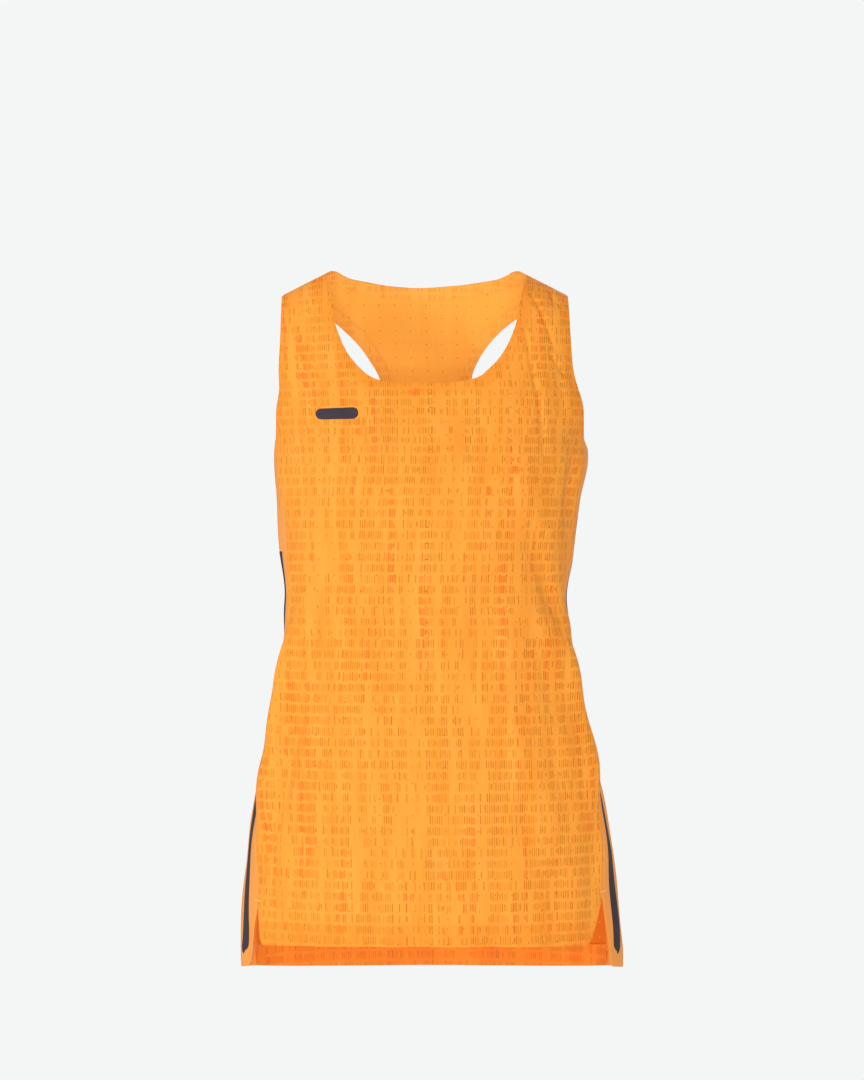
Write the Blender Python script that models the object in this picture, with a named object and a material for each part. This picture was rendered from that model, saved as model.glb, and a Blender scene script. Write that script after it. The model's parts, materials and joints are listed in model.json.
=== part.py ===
"""Running singlet, worn and hollow: a front, a racerback and two side panels.

Run with blender --background --python part.py, or from Blender's text editor.
Units are metres.  +X is the wearer's left, -Y is the front, +Z is up.  The origin
lies midway between the undersides of the two shoulder straps, where a wearer's
shoulders hold the garment up.

The cloth is drawn on one skin.  A point of the skin has a level, which is its height
on the body and runs on over the shoulder, and an across value, which is the distance
along the level's ring from the centre line.  Each panel is a grid of such points
between its cut edges, and its wall is that grid with a second one inside it.
"""

import bmesh
import bpy
import numpy as np

# Cloth and seams
WALL = 0.0012
SEAM_GAP = 0.0003

# The skin's rings.  A ring is four quarter superellipses around the side points.
RING_COLUMNS = ("level", "front_height", "back_height", "tilt", "half_width", "shift",
                "front_depth", "back_depth", "front_square", "back_square", "lean")
RINGS = (
    (-0.645, -0.645, -0.645, 0.00, 0.1743, 0.0034, 0.1250, 0.1125, 2.25, 2.20, 0.00),
    (-0.617, -0.617, -0.617, 0.00, 0.1757, 0.0034, 0.1258, 0.1128, 2.27, 2.20, 0.01),
    (-0.587, -0.587, -0.587, 0.00, 0.1742, 0.0028, 0.1265, 0.1130, 2.30, 2.20, 0.02),
    (-0.513, -0.513, -0.513, 0.00, 0.1645, 0.0016, 0.1285, 0.1110, 2.30, 2.20, 0.12),
    (-0.440, -0.440, -0.440, 0.00, 0.1480, 0.0003, 0.1285, 0.1030, 2.35, 2.25, 0.24),
    (-0.366, -0.366, -0.366, 0.00, 0.1292, -0.0012, 0.1270, 0.0880, 2.40, 2.30, 0.28),
    (-0.320, -0.320, -0.320, 0.00, 0.1268, -0.0004, 0.1264, 0.0810, 2.45, 2.30, 0.22),
    (-0.292, -0.292, -0.292, 0.00, 0.1272, -0.0019, 0.1268, 0.0800, 2.50, 2.30, 0.13),
    (-0.255, -0.255, -0.255, 0.00, 0.1338, -0.0012, 0.1280, 0.0850, 2.60, 2.30, 0.02),
    (-0.200, -0.200, -0.200, 0.00, 0.1394, 0.0004, 0.1255, 0.0950, 2.80, 2.35, 0.00),
    (-0.160, -0.160, -0.160, 0.00, 0.1438, 0.0026, 0.1135, 0.1000, 2.80, 2.40, 0.00),
    (-0.1435, -0.1435, -0.1435, 0.02, 0.1437, 0.0022, 0.1040, 0.0996, 2.75, 2.40, 0.00),
    (-0.110, -0.110, -0.110, 0.10, 0.1500, 0.0018, 0.0850, 0.0980, 2.70, 2.40, 0.00),
    (-0.075, -0.076, -0.0755, 0.35, 0.1500, -0.0015, 0.0670, 0.0870, 2.60, 2.40, 0.00),
    (-0.040, -0.044, -0.042, 0.65, 0.1500, -0.0023, 0.0530, 0.0660, 2.60, 2.40, 0.00),
    (-0.012, -0.0205, -0.0190, 0.85, 0.1500, -0.0026, 0.0410, 0.0450, 2.60, 2.40, 0.00),
    (0.010, -0.0066, -0.0061, 0.95, 0.1500, -0.0028, 0.0240, 0.0250, 2.60, 2.40, 0.00),
    (0.022, -0.0015, -0.0013, 1.00, 0.1500, -0.0028, 0.0125, 0.0125, 2.60, 2.40, 0.00),
    (0.030, 0.0001, 0.0001, 1.00, 0.1500, -0.0028, 0.0000, 0.0000, 2.60, 2.40, 0.00),
)
RIDGE_LEVEL = 0.030
STRAP_MIDDLE = 0.110
SHOULDER_SLOPE = 0.515
SHOULDER_ROUND = 0.020
QUARTER_STEPS = 64

# Cut edges, each given on one half and the same on both
FRONT_NECK_COLUMNS = ("half_x", "height")
FRONT_NECK = (
    (0.0000, -0.0963),
    (0.0418, -0.0917),
    (0.0595, -0.0800),
    (0.0712, -0.0659),
    (0.0811, -0.0432),
    (0.0866, -0.0181),
)
BACK_NECK_COLUMNS = ("half_x", "height")
BACK_NECK = (
    (0.0000, -0.0003),
    (0.0164, 0.0002),
    (0.0400, 0.0020),
    (0.0637, 0.0052),
    (0.0755, 0.0085),
)
NECK_AT_RIDGE = 0.0865
FRONT_ARMHOLE_COLUMNS = ("level", "half_x")
FRONT_ARMHOLE = (
    (-0.119, 0.1402),
    (-0.092, 0.1356),
    (-0.060, 0.1332),
    (-0.020, 0.1320),
)
BACK_ARMHOLE_COLUMNS = ("level", "half_x")
BACK_ARMHOLE = (
    (-0.129, 0.0500),
    (-0.108, 0.0420),
    (-0.093, 0.0432),
    (-0.073, 0.0537),
    (-0.041, 0.0815),
    (-0.015, 0.1065),
    (0.010, 0.1240),
)
BACK_UNDERARM_COLUMNS = ("half_x", "level")
BACK_UNDERARM = (
    (0.0500, -0.129),
    (0.0620, -0.141),
    (0.0850, -0.1475),
)
SHOULDER_NECK_END = (0.0925, 0.018)
SHOULDER_ARM_END = (0.1312, 0.027)
UNDERARM_LEVEL = -0.1435
SEAM_COLUMNS = ("level", "front", "back", "turn")
SEAMS = (
    (-0.645, 0.073, 0.045, 0.0000),
    (-0.567, 0.073, 0.045, 0.0000),
    (-0.500, 0.074, 0.045, 0.0000),
    (-0.440, 0.073, 0.045, 0.0010),
    (-0.350, 0.064, 0.045, 0.0050),
    (-0.265, 0.055, 0.045, 0.0090),
    (-0.225, 0.055, 0.045, 0.0085),
    (-0.190, 0.055, 0.043, 0.0030),
    (-0.147, 0.034, 0.040, 0.0000),
)
SIDE_DIP = 0.012

# The cloth hangs a little off the middle: the neck's round and the racerback lie towards
# the wearer's right, up to SWAY_REACH from the centre line
SWAY_COLUMNS = ("level", "front", "back")
SWAYS = (
    (-0.150, 0.0000, 0.0000),
    (-0.115, -0.0026, -0.0022),
    (-0.092, -0.0026, -0.0023),
    (-0.079, -0.0012, -0.0023),
    (-0.045, 0.0000, -0.0022),
    (-0.010, 0.0000, 0.0000),
)
SWAY_REACH = (0.075, 0.125)

# Hems and the two slits at the front seams
FRONT_HEM_CENTRE = -0.5965
FRONT_HEM_SIDE = -0.6005
SIDE_HEM_FRONT = -0.6222
SIDE_HEM_BACK = -0.6332
BACK_HEM_CENTRE = -0.6414
SLIT_TOP = {-1: -0.567, 1: -0.559}
SLIT_FRONT_OPEN = {-1: 0.005, 1: 0.019}
SLIT_SIDE_OPEN = {-1: 0.0195, 1: 0.013}

# Colours of the knits (linear)
FRONT_COLOUR = (0.93, 0.36, 0.05)
BACK_COLOUR = (0.90, 0.35, 0.06)
SIDE_COLOUR = (0.95, 0.40, 0.11)

# Grid sizes: columns count out from the centre line, rows count up from the hem
FRONT_HALF_COLUMNS = 17
FRONT_NECK_COLUMN = 7
FRONT_BODY_ROWS = 36
SLIT_ROW = 3
UNDERARM_ROW = 31
STRAP_ROWS = 10
NECK_CORNER_ACROSS = 0.065
SLIT_LEVEL = (SLIT_TOP[-1] + SLIT_TOP[1]) / 2
BACK_HALF_COLUMNS = 17
RACER_COLUMN = 8
BACK_NECK_COLUMN = 5
BACK_BODY_ROWS = 32
RACER_ROWS = 8
BACK_STRAP_ROWS = 7
STRAP_FOOT_ACROSS = 0.066
STRAP_FOOT_LEVEL = -0.041
SIDE_COLUMNS = 8
SIDE_ROWS = 32

# The largest folds.  A height below zero is a trough.
FOLD_COLUMNS = ("start_across", "start_level", "end_across", "end_level", "width", "height")
FRONT_FOLDS = (
    (-0.0765, -0.185, -0.0835, -0.405, 0.011, -0.0045),
    (-0.0790, -0.320, -0.1250, -0.485, 0.012, -0.0045),
    (-0.1050, -0.425, -0.1700, -0.560, 0.011, -0.0035),
    (-0.107, -0.275, -0.164, -0.490, 0.010, 0.0045),
    (-0.125, -0.280, -0.160, -0.500, 0.008, -0.0028),
    (0.098, -0.215, 0.122, -0.340, 0.010, -0.0040),
    (0.079, -0.295, 0.100, -0.400, 0.009, -0.0032),
    (0.108, -0.285, 0.158, -0.480, 0.011, 0.0052),
    (0.143, -0.122, 0.155, -0.264, 0.013, -0.0050),
    (-0.130, -0.155, -0.131, -0.255, 0.010, -0.0028),
    (-0.049, -0.500, -0.051, -0.690, 0.009, -0.0024),
    (0.053, -0.490, 0.053, -0.700, 0.009, -0.0024),
)
BACK_FOLDS = (
    (-0.030, -0.215, -0.120, -0.400, 0.014, -0.0030),
    (0.035, -0.205, 0.125, -0.410, 0.014, -0.0035),
    (0.000, -0.270, 0.006, -0.500, 0.016, -0.0025),
    (-0.065, -0.350, -0.095, -0.620, 0.014, 0.0030),
    (0.070, -0.330, 0.100, -0.600, 0.014, 0.0030),
)
SIDE_FOLD_COLUMNS = ("side", "distance", "start_level", "end_level", "width", "height")
SIDE_FOLDS = (
    (-1, 0.045, -0.250, -0.580, 0.016, -0.0055),
    (-1, 0.080, -0.250, -0.580, 0.013, 0.0040),
    (1, 0.045, -0.250, -0.520, 0.016, -0.0055),
    (1, 0.080, -0.250, -0.520, 0.013, 0.0040),
)


def column(rows, columns, name):
    """One named column of a table."""
    return np.array([row[columns.index(name)] for row in rows], dtype=float)


def smooth(knots, values, at):
    """A curve through a table's values that never overshoots between two rows."""
    at = np.clip(at, knots[0], knots[-1])
    steps = np.diff(knots)
    rates = np.diff(values) / steps
    slopes = np.zeros_like(values)
    slopes[0] = rates[0]
    slopes[-1] = rates[-1]
    turning = rates[:-1] * rates[1:] <= 0
    total = np.where(turning, 1.0, rates[:-1] + rates[1:])
    slopes[1:-1] = np.where(turning, 0.0, 2 * rates[:-1] * rates[1:] / total)
    place = np.clip(np.searchsorted(knots, at, side="right") - 1, 0, len(steps) - 1)
    t = (at - knots[place]) / steps[place]
    rise = values[place + 1] - values[place]
    start = slopes[place] * steps[place]
    end = slopes[place + 1] * steps[place]
    square = 3 * rise - 2 * start - end
    cube = start + end - 2 * rise
    return values[place] + t * start + t ** 2 * square + t ** 3 * cube


def ring_value(name, level):
    """A ring's dimension at a level."""
    return smooth(column(RINGS, RING_COLUMNS, "level"), column(RINGS, RING_COLUMNS, name), level)


def quarter_profile(front, level):
    """Angles, half widths, depths and running lengths of ring quarters from the centre line."""
    half = ring_value("half_width", level)[:, None]
    depth = np.where(front, ring_value("front_depth", level), ring_value("back_depth", level))[:, None]
    square = np.where(front, ring_value("front_square", level), ring_value("back_square", level))[:, None]
    angle = np.linspace(0.0, np.pi / 2, QUARTER_STEPS + 1)[None, :]
    x = half * np.sin(angle) ** (2 / square)
    y = depth * np.clip(np.cos(angle), 0.0, 1.0) ** (2 / square)
    length = np.zeros_like(x)
    length[:, 1:] = np.cumsum(np.hypot(np.diff(x), np.diff(y)), axis=1)
    return angle[0], x, y, length


def quarter_length(front, level):
    """The distance along a ring from the centre line to the side point."""
    level = np.atleast_1d(np.asarray(level, dtype=float))
    return quarter_profile(np.full(level.shape, front), level)[3][:, -1]


def across_of(front, half_x, level):
    """The across value of the skin point at a half width on a level."""
    level = np.atleast_1d(np.asarray(level, dtype=float))
    half_x = np.broadcast_to(np.asarray(half_x, dtype=float), level.shape)
    angle, x, y, length = quarter_profile(np.full(level.shape, front), level)
    return np.array([np.interp(half_x[i], x[i], length[i]) for i in range(len(level))])


def level_of(front, half_x, height):
    """The level at which the skin has a given height at a half width."""
    levels = np.linspace(-0.20, RIDGE_LEVEL, 241)
    heights = ring_height(np.full(levels.shape, front), np.full(levels.shape, half_x), levels)
    return float(np.interp(height, heights, levels))


def ring_height(front, x, level):
    """The height of a tilted ring at a distance from the middle plane."""
    height = np.where(front, ring_value("front_height", level), ring_value("back_height", level))
    rise = SHOULDER_SLOPE * (STRAP_MIDDLE - np.sqrt(x * x + SHOULDER_ROUND ** 2))
    return height + ring_value("tilt", level) * rise


def bare_skin(front, across, level):
    """Skin points without folds; across runs on past the side, and level past the ridge."""
    over = level > RIDGE_LEVEL
    front = np.where(over, ~front, front)
    level = np.where(over, 2 * RIDGE_LEVEL - level, level)
    side = np.where(across < 0, -1.0, 1.0)
    reach = np.abs(across)
    angle, x, y, length = quarter_profile(front, level)
    past = reach > length[:, -1]
    if past.any():
        other = quarter_profile(~front, level)
        rest = other[3][:, -1] - (reach - length[:, -1])
        reach = np.where(past, rest, reach)
        front = np.where(past, ~front, front)
        x = np.where(past[:, None], other[1], x)
        y = np.where(past[:, None], other[2], y)
        length = np.where(past[:, None], other[3], length)
    last = np.clip((length < reach[:, None]).sum(axis=1), 1, QUARTER_STEPS)
    row = np.arange(len(reach))
    span = np.maximum(length[row, last] - length[row, last - 1], 1e-9)
    part = (reach - length[row, last - 1]) / span
    turn = angle[last - 1] + part * (angle[last] - angle[last - 1])
    square = np.where(front, ring_value("front_square", level), ring_value("back_square", level))
    depth = np.where(front, ring_value("front_depth", level), ring_value("back_depth", level))
    turn = np.clip(turn, 0.0, np.pi / 2)
    half_x = ring_value("half_width", level) * np.sin(turn) ** (2 / square)
    inward = np.clip(np.cos(turn), 0.0, 1.0) ** (2 / square)
    lean = ring_value("lean", level) * np.where(front, inward, -0.5 * inward)
    half_x = half_x * (1 + lean)
    height = ring_height(front, half_x, level)
    place = np.stack((ring_value("shift", level) + side * half_x,
                      np.where(front, -1.0, 1.0) * depth * inward,
                      height), axis=-1)
    return place


def outward(surface, front, across, level):
    """Unit vectors that point out of a surface."""
    step = 0.0005
    along = surface(front, across + step, level) - surface(front, across - step, level)
    up = surface(front, across, level + step) - surface(front, across, level - step)
    out = np.cross(along, up) * np.where(front, 1.0, -1.0)[:, None]
    return out / np.linalg.norm(out, axis=1)[:, None]


def fold_height(front, across, level):
    """How far the folds lift each skin point."""
    here = np.where(level > RIDGE_LEVEL, 2 * RIDGE_LEVEL - level, level)
    length = quarter_profile(front, here)[3][:, -1]
    other = quarter_profile(~front, here)[3][:, -1]
    reach = np.abs(across)
    past = reach > length
    ahead = np.where(front, length - reach, reach - length)
    near = np.sign(across) * np.where(past, other - (reach - length), reach)
    on_front = np.where(past, ~front, front)
    total = np.zeros_like(across)
    for is_front, rows in ((True, FRONT_FOLDS), (False, BACK_FOLDS)):
        for row in rows:
            fold = dict(zip(FOLD_COLUMNS, row))
            run_across = fold["end_across"] - fold["start_across"]
            run_level = fold["end_level"] - fold["start_level"]
            span = np.hypot(run_across, run_level)
            along = ((near - fold["start_across"]) * run_across
                     + (level - fold["start_level"]) * run_level) / span
            aside = ((near - fold["start_across"]) * run_level
                     - (level - fold["start_level"]) * run_across) / span
            taper = np.sin(np.pi * np.clip(along / span, 0.0, 1.0))
            bump = np.exp(-(aside / fold["width"]) ** 2) * taper
            total += np.where(on_front == is_front, fold["height"] * bump, 0.0)
    for row in SIDE_FOLDS:
        fold = dict(zip(SIDE_FOLD_COLUMNS, row))
        along = (level - fold["start_level"]) / (fold["end_level"] - fold["start_level"])
        taper = np.sin(np.pi * np.clip(along, 0.0, 1.0))
        bump = np.exp(-((ahead - fold["distance"]) / fold["width"]) ** 2) * taper
        total += np.where(np.sign(across) == fold["side"], fold["height"] * bump, 0.0)
    return total


def skin(front, across, level):
    """Points on the outside of the cloth."""
    lift = fold_height(front, across, level)
    return bare_skin(front, across, level) + outward(bare_skin, front, across, level) * lift[:, None]


class Sheet:
    """A panel's grid of skin places, with the faces between them."""

    def __init__(self, front):
        self.front = front
        self.across = []
        self.level = []
        self.faces = []

    def add_points(self, across, level):
        """Adds places and returns their numbers."""
        first = len(self.across)
        self.across.extend(float(value) for value in across)
        self.level.extend(float(value) for value in level)
        return list(range(first, len(self.across)))

    def add_block(self, across, level, base=None):
        """Adds a grid of rows; base is a row of numbers that it stands on."""
        rows = [] if base is None else [base]
        for across_row, level_row in zip(across, level):
            rows.append(self.add_points(across_row, level_row))
        for lower, upper in zip(rows, rows[1:]):
            for i in range(len(lower) - 1):
                self.faces.append((lower[i], lower[i + 1], upper[i + 1], upper[i]))
        return rows

    def wall(self):
        """Points and faces of the closed wall."""
        level = np.array(self.level)
        across = np.array(self.across) + sway(self.front, np.array(self.across), level)
        front = np.full(across.shape, self.front)
        outer = skin(front, across, level)
        inner = outer - WALL * outward(skin, front, across, level)
        count = len(outer)
        faces = list(self.faces)
        faces += [tuple(count + i for i in reversed(face)) for face in self.faces]
        uses = {}
        for face in self.faces:
            for start, end in zip(face, face[1:] + face[:1]):
                uses[(start, end)] = uses.get((start, end), 0) + 1
        for start, end in uses:
            if (end, start) not in uses:
                faces.append((end, start, count + start, count + end))
        return np.concatenate((outer, inner)), faces


def smooth_line(points, count=200):
    """A dense smooth line through a few points (Catmull-Rom)."""
    points = np.array(points, dtype=float)
    ends = (2 * points[:1] - points[1:2], points, 2 * points[-1:] - points[-2:-1])
    guide = np.concatenate(ends)
    t = np.linspace(0, len(points) - 1, count)
    k = np.minimum(t.astype(int), len(points) - 2)
    f = (t - k)[:, None]
    a, b, c, d = guide[k], guide[k + 1], guide[k + 2], guide[k + 3]
    square = 2 * a - 5 * b + 4 * c - d
    cube = 3 * b - a - 3 * c + d
    return 0.5 * (2 * b + (c - a) * f + square * f ** 2 + cube * f ** 3)


def seam_distance(edge, level):
    """How far a seam lies from the side point."""
    return smooth(column(SEAMS, SEAM_COLUMNS, "level"), column(SEAMS, SEAM_COLUMNS, edge), level)


def seam_turn(level):
    """How far both front seams hang towards the wearer's left."""
    return smooth(column(SEAMS, SEAM_COLUMNS, "level"), column(SEAMS, SEAM_COLUMNS, "turn"), level)


def slit(side, level):
    """How far the front panel has swung off its seam below the slit's top."""
    return SLIT_FRONT_OPEN[side] * slit_share(side, level, FRONT_HEM_SIDE)


def sway(front, across, level):
    """How far each place lies off the middle, as the cloth hangs."""
    edge = "front" if front else "back"
    off = smooth(column(SWAYS, SWAY_COLUMNS, "level"), column(SWAYS, SWAY_COLUMNS, edge), level)
    return off * np.interp(np.abs(across), SWAY_REACH, (1.0, 0.0))


def side_hem(part):
    """A side panel's hem, which falls from the slit to the back's hem."""
    return SIDE_HEM_FRONT + (SIDE_HEM_BACK - SIDE_HEM_FRONT) * (1 - (1 - part) ** 1.2)


def slit_share(side, level, hem):
    """How far down a slit a level lies: 0 at its top and 1 at the hem."""
    return np.clip((SLIT_TOP[side] - level) / (SLIT_TOP[side] - hem), 0.0, 1.0)


def seam_edge(front, level):
    """The across value of a front or back seam."""
    level = np.atleast_1d(np.asarray(level, dtype=float))
    edge = "front" if front else "back"
    return quarter_length(front, level) - seam_distance(edge, level) - SEAM_GAP / 2


def armhole_edge(front, level):
    """The across value of an armhole's edge between the underarm and the shoulder."""
    rows = FRONT_ARMHOLE if front else BACK_ARMHOLE
    names = FRONT_ARMHOLE_COLUMNS if front else BACK_ARMHOLE_COLUMNS
    levels = list(column(rows, names, "level"))
    halves = list(column(rows, names, "half_x"))
    end_x, end_level = SHOULDER_ARM_END
    if front:
        seam = seam_edge(True, UNDERARM_LEVEL)
        start = bare_skin(np.array([True]), seam, np.array([UNDERARM_LEVEL]))[0][0]
        levels.insert(0, UNDERARM_LEVEL)
        halves.insert(0, start - float(ring_value("shift", np.array([UNDERARM_LEVEL]))[0]))
    levels.append(end_level if front else 2 * RIDGE_LEVEL - end_level)
    halves.append(end_x)
    half_x = smooth(np.array(levels), np.array(halves), level)
    over = level > RIDGE_LEVEL
    here = np.where(over, 2 * RIDGE_LEVEL - level, level)
    return np.where(over, across_of(not front, half_x, here), across_of(front, half_x, here))


def front_neck_line():
    """The front neck's half edge as across values and levels, from the centre to the seam."""
    halves = column(FRONT_NECK, FRONT_NECK_COLUMNS, "half_x")
    heights = column(FRONT_NECK, FRONT_NECK_COLUMNS, "height")
    levels = np.array([level_of(True, x, z) for x, z in zip(halves, heights)])
    halves = np.append(halves, SHOULDER_NECK_END[0])
    levels = np.append(levels, SHOULDER_NECK_END[1])
    half = np.stack((across_of(True, halves, levels), levels), axis=-1)
    mirrored = half[1:2] * (-1, 1)
    line = smooth_line(np.concatenate((mirrored, half)), 400)
    return line[line[:, 0] >= 0]


def front_panel():
    """The front: a body grid that ends on the neck's round, and a grid for each strap."""
    sheet = Sheet(True)
    neck = front_neck_line()
    corner = int(np.argmin(np.abs(neck[:, 0] - NECK_CORNER_ACROSS)))
    corner_across, corner_level = neck[corner]
    split = corner_across / armhole_edge(True, np.array([corner_level]))[0]
    number = np.arange(-FRONT_HALF_COLUMNS, FRONT_HALF_COLUMNS + 1)
    knots = (0, FRONT_NECK_COLUMN, FRONT_HALF_COLUMNS)
    fraction = np.sign(number) * np.interp(np.abs(number), knots, (0.0, split, 1.0))

    across_rows = []
    level_rows = []
    for row in range(FRONT_BODY_ROWS + 1):
        level = np.empty(len(number))
        for i, part in enumerate(fraction):
            hem = FRONT_HEM_CENTRE + (FRONT_HEM_SIDE - FRONT_HEM_CENTRE) * part * part
            near = np.abs(part) * corner_across / split
            top = np.interp(near, neck[:corner + 1, 0], neck[:corner + 1, 1])
            stops = (hem, SLIT_LEVEL, UNDERARM_LEVEL, top)
            level[i] = np.interp(row, (0, SLIT_ROW, UNDERARM_ROW, FRONT_BODY_ROWS), stops)
        across_rows.append(fraction * front_reach(number, level))
        level_rows.append(level)
    rows = sheet.add_block(across_rows, level_rows)

    for side in (-1, 1):
        base = [rows[-1][i] for i in range(len(number)) if side * number[i] >= FRONT_NECK_COLUMN]
        share = np.array([(abs(fraction[i]) - split) / (1 - split)
                          for i in range(len(number)) if side * number[i] >= FRONT_NECK_COLUMN])
        top = SHOULDER_NECK_END[1] + (SHOULDER_ARM_END[1] - SHOULDER_NECK_END[1]) * share - SEAM_GAP / 2
        across_rows = []
        level_rows = []
        for row in range(1, STRAP_ROWS + 1):
            level = corner_level + (top - corner_level) * row / STRAP_ROWS
            inner = np.interp(level, neck[corner:, 1], neck[corner:, 0])
            outer = armhole_edge(True, level)
            across_rows.append(side * (inner + (outer - inner) * share))
            level_rows.append(level)
        sheet.add_block(across_rows, level_rows, base)
    return sheet


def front_reach(number, level):
    """How far the front panel's edge lies from the centre line at each point's level."""
    seam = seam_edge(True, level)
    for side in (-1, 1):
        here = np.sign(number) == side
        seam = np.where(here, seam + side * seam_turn(level) - slit(side, level), seam)
    return np.where(level <= UNDERARM_LEVEL, seam, armhole_edge(True, level))


def back_underarm_line():
    """The lower round of a back armhole, from the racerback out to the side seam."""
    halves = column(BACK_UNDERARM, BACK_UNDERARM_COLUMNS, "half_x")
    levels = column(BACK_UNDERARM, BACK_UNDERARM_COLUMNS, "level")
    across = across_of(False, halves, levels)
    across = np.append(across, seam_edge(False, UNDERARM_LEVEL)[0])
    levels = np.append(levels, UNDERARM_LEVEL)
    return smooth_line(np.stack((across, levels), axis=-1))


def back_skin_points(half_x, level):
    """Half widths and levels of the back, past the ridge too, as across values and levels."""
    over = level > RIDGE_LEVEL
    here = np.where(over, 2 * RIDGE_LEVEL - level, level)
    across = np.where(over, across_of(True, half_x, here), across_of(False, half_x, here))
    return np.stack((across, level), axis=-1)


def back_neck_line():
    """The back neck's half edge, from the centre over the ridge to the shoulder seam."""
    halves = column(BACK_NECK, BACK_NECK_COLUMNS, "half_x")
    heights = column(BACK_NECK, BACK_NECK_COLUMNS, "height")
    levels = np.array([level_of(False, x, z) for x, z in zip(halves, heights)])
    knots = [(-halves[1], levels[1])] + list(zip(halves, levels))
    knots.append((NECK_AT_RIDGE, RIDGE_LEVEL))
    knots.append((SHOULDER_NECK_END[0], 2 * RIDGE_LEVEL - SHOULDER_NECK_END[1] - SEAM_GAP / 2))
    line = smooth_line(knots, 400)
    line = line[line[:, 0] >= 0]
    return back_skin_points(line[:, 0], line[:, 1])


def spaced(line, count):
    """Points at even steps along a line."""
    run = np.append(0.0, np.cumsum(np.hypot(*np.diff(line, axis=0).T)))
    at = np.linspace(0.0, run[-1], count + 1)
    return np.stack((np.interp(at, run, line[:, 0]), np.interp(at, run, line[:, 1])), axis=-1)


def patch(bottom, top, left, right):
    """Rows of a grid that fills four edges, without its first row (a Coons patch)."""
    u = np.linspace(0, 1, len(bottom))[:, None]
    rows = []
    for row in range(1, len(left)):
        v = row / (len(left) - 1)
        blend = (1 - v) * bottom + v * top + (1 - u) * left[row] + u * right[row]
        blend -= (1 - u) * ((1 - v) * bottom[0] + v * top[0]) + u * ((1 - v) * bottom[-1] + v * top[-1])
        rows.append(blend)
    return rows


def back_panel():
    """The back: a body grid up to the underarms, a racerback grid and one for each strap."""
    sheet = Sheet(False)
    corner_x, corner_level = BACK_UNDERARM[0]
    corner_across = across_of(False, corner_x, corner_level)[0]
    split = corner_across / seam_edge(False, corner_level)[0]
    number = np.arange(-BACK_HALF_COLUMNS, BACK_HALF_COLUMNS + 1)
    knots = (0, RACER_COLUMN, BACK_HALF_COLUMNS)
    fraction = np.sign(number) * np.interp(np.abs(number), knots, (0.0, split, 1.0))
    underarm = back_underarm_line()
    top = np.full(len(number), corner_level)
    for i in range(len(number)):
        for _ in range(6):
            reach = abs(fraction[i]) * seam_edge(False, top[i])[0]
            top[i] = np.interp(reach, underarm[:, 0], underarm[:, 1])
    hem = BACK_HEM_CENTRE + (SIDE_HEM_BACK - BACK_HEM_CENTRE) * np.abs(fraction) ** 3
    across_rows = []
    level_rows = []
    for row in range(BACK_BODY_ROWS + 1):
        level = hem + (top - hem) * row / BACK_BODY_ROWS
        across_rows.append(fraction * seam_edge(False, level))
        level_rows.append(level)
    rows = sheet.add_block(across_rows, level_rows)

    middle = slice(BACK_HALF_COLUMNS - RACER_COLUMN, BACK_HALF_COLUMNS + RACER_COLUMN + 1)
    low = np.stack((across_rows[-1][middle], level_rows[-1][middle]), axis=-1)
    arm_levels = np.linspace(corner_level, STRAP_FOOT_LEVEL, 100)
    arm = spaced(np.stack((armhole_edge(False, arm_levels), arm_levels), axis=-1), RACER_ROWS)
    neck = back_neck_line()
    foot = int(np.argmin(np.abs(neck[:, 0] - STRAP_FOOT_ACROSS)))
    across_strap = RACER_COLUMN - BACK_NECK_COLUMN
    part = np.linspace(0, 1, across_strap + 1)[1:, None]
    strap_foot = neck[foot] + part * (arm[-1] - neck[foot])
    half_top = np.concatenate((spaced(neck[:foot + 1], BACK_NECK_COLUMN), strap_foot))
    high = np.concatenate((half_top[:0:-1] * (-1, 1), half_top))
    grid = patch(low, high, arm * (-1, 1), arm)
    racer = sheet.add_block([row[:, 0] for row in grid], [row[:, 1] for row in grid], rows[-1][middle])

    seam_level = 2 * RIDGE_LEVEL - SHOULDER_ARM_END[1] - SEAM_GAP / 2
    arm_levels = np.linspace(STRAP_FOOT_LEVEL, seam_level, 100)
    outer = spaced(np.stack((armhole_edge(False, arm_levels), arm_levels), axis=-1), BACK_STRAP_ROWS)
    inner = spaced(neck[foot:], BACK_STRAP_ROWS)
    share = np.linspace(0, 1, across_strap + 1)[:, None]
    seam = inner[-1] + share * (outer[-1] - inner[-1])
    strap = patch(half_top[BACK_NECK_COLUMN:], seam, inner, outer)
    across = [row[:, 0] for row in strap]
    level = [row[:, 1] for row in strap]
    sheet.add_block(across, level, racer[-1][-across_strap - 1:])
    across = [-row[::-1] for row in across]
    level = [row[::-1] for row in level]
    sheet.add_block(across, level, racer[-1][:across_strap + 1])
    return sheet


def side_panel(side):
    """A side: one grid from the front seam round to the back seam, under the armhole."""
    sheet = Sheet(True)
    part = np.linspace(0, 1, SIDE_COLUMNS + 1)
    hem = side_hem(part)
    top = UNDERARM_LEVEL - SIDE_DIP * np.sin(np.pi * part)
    across_rows = []
    level_rows = []
    for row in range(SIDE_ROWS + 1):
        beside_back = hem + (top - hem) * row / SIDE_ROWS
        slit_row = SIDE_ROWS - UNDERARM_ROW + SLIT_ROW
        share = np.interp(row, (slit_row, SIDE_ROWS), (0.0, 1.0))
        beside_front = SLIT_LEVEL + (top - SLIT_LEVEL) * share
        if row < slit_row:
            beside_front = hem + (SLIT_LEVEL - hem) * row / slit_row
        level = (1 - part) * beside_front + part * beside_back
        ahead = seam_distance("front", level) - side * seam_turn(level) - SEAM_GAP / 2
        ahead -= SLIT_SIDE_OPEN[side] * slit_share(side, level, SIDE_HEM_FRONT)
        behind = seam_distance("back", level) - SEAM_GAP / 2
        across_rows.append(side * (quarter_length(True, level) - ahead + (ahead + behind) * part))
        level_rows.append(level)
    sheet.add_block(across_rows, level_rows)
    return sheet


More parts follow.
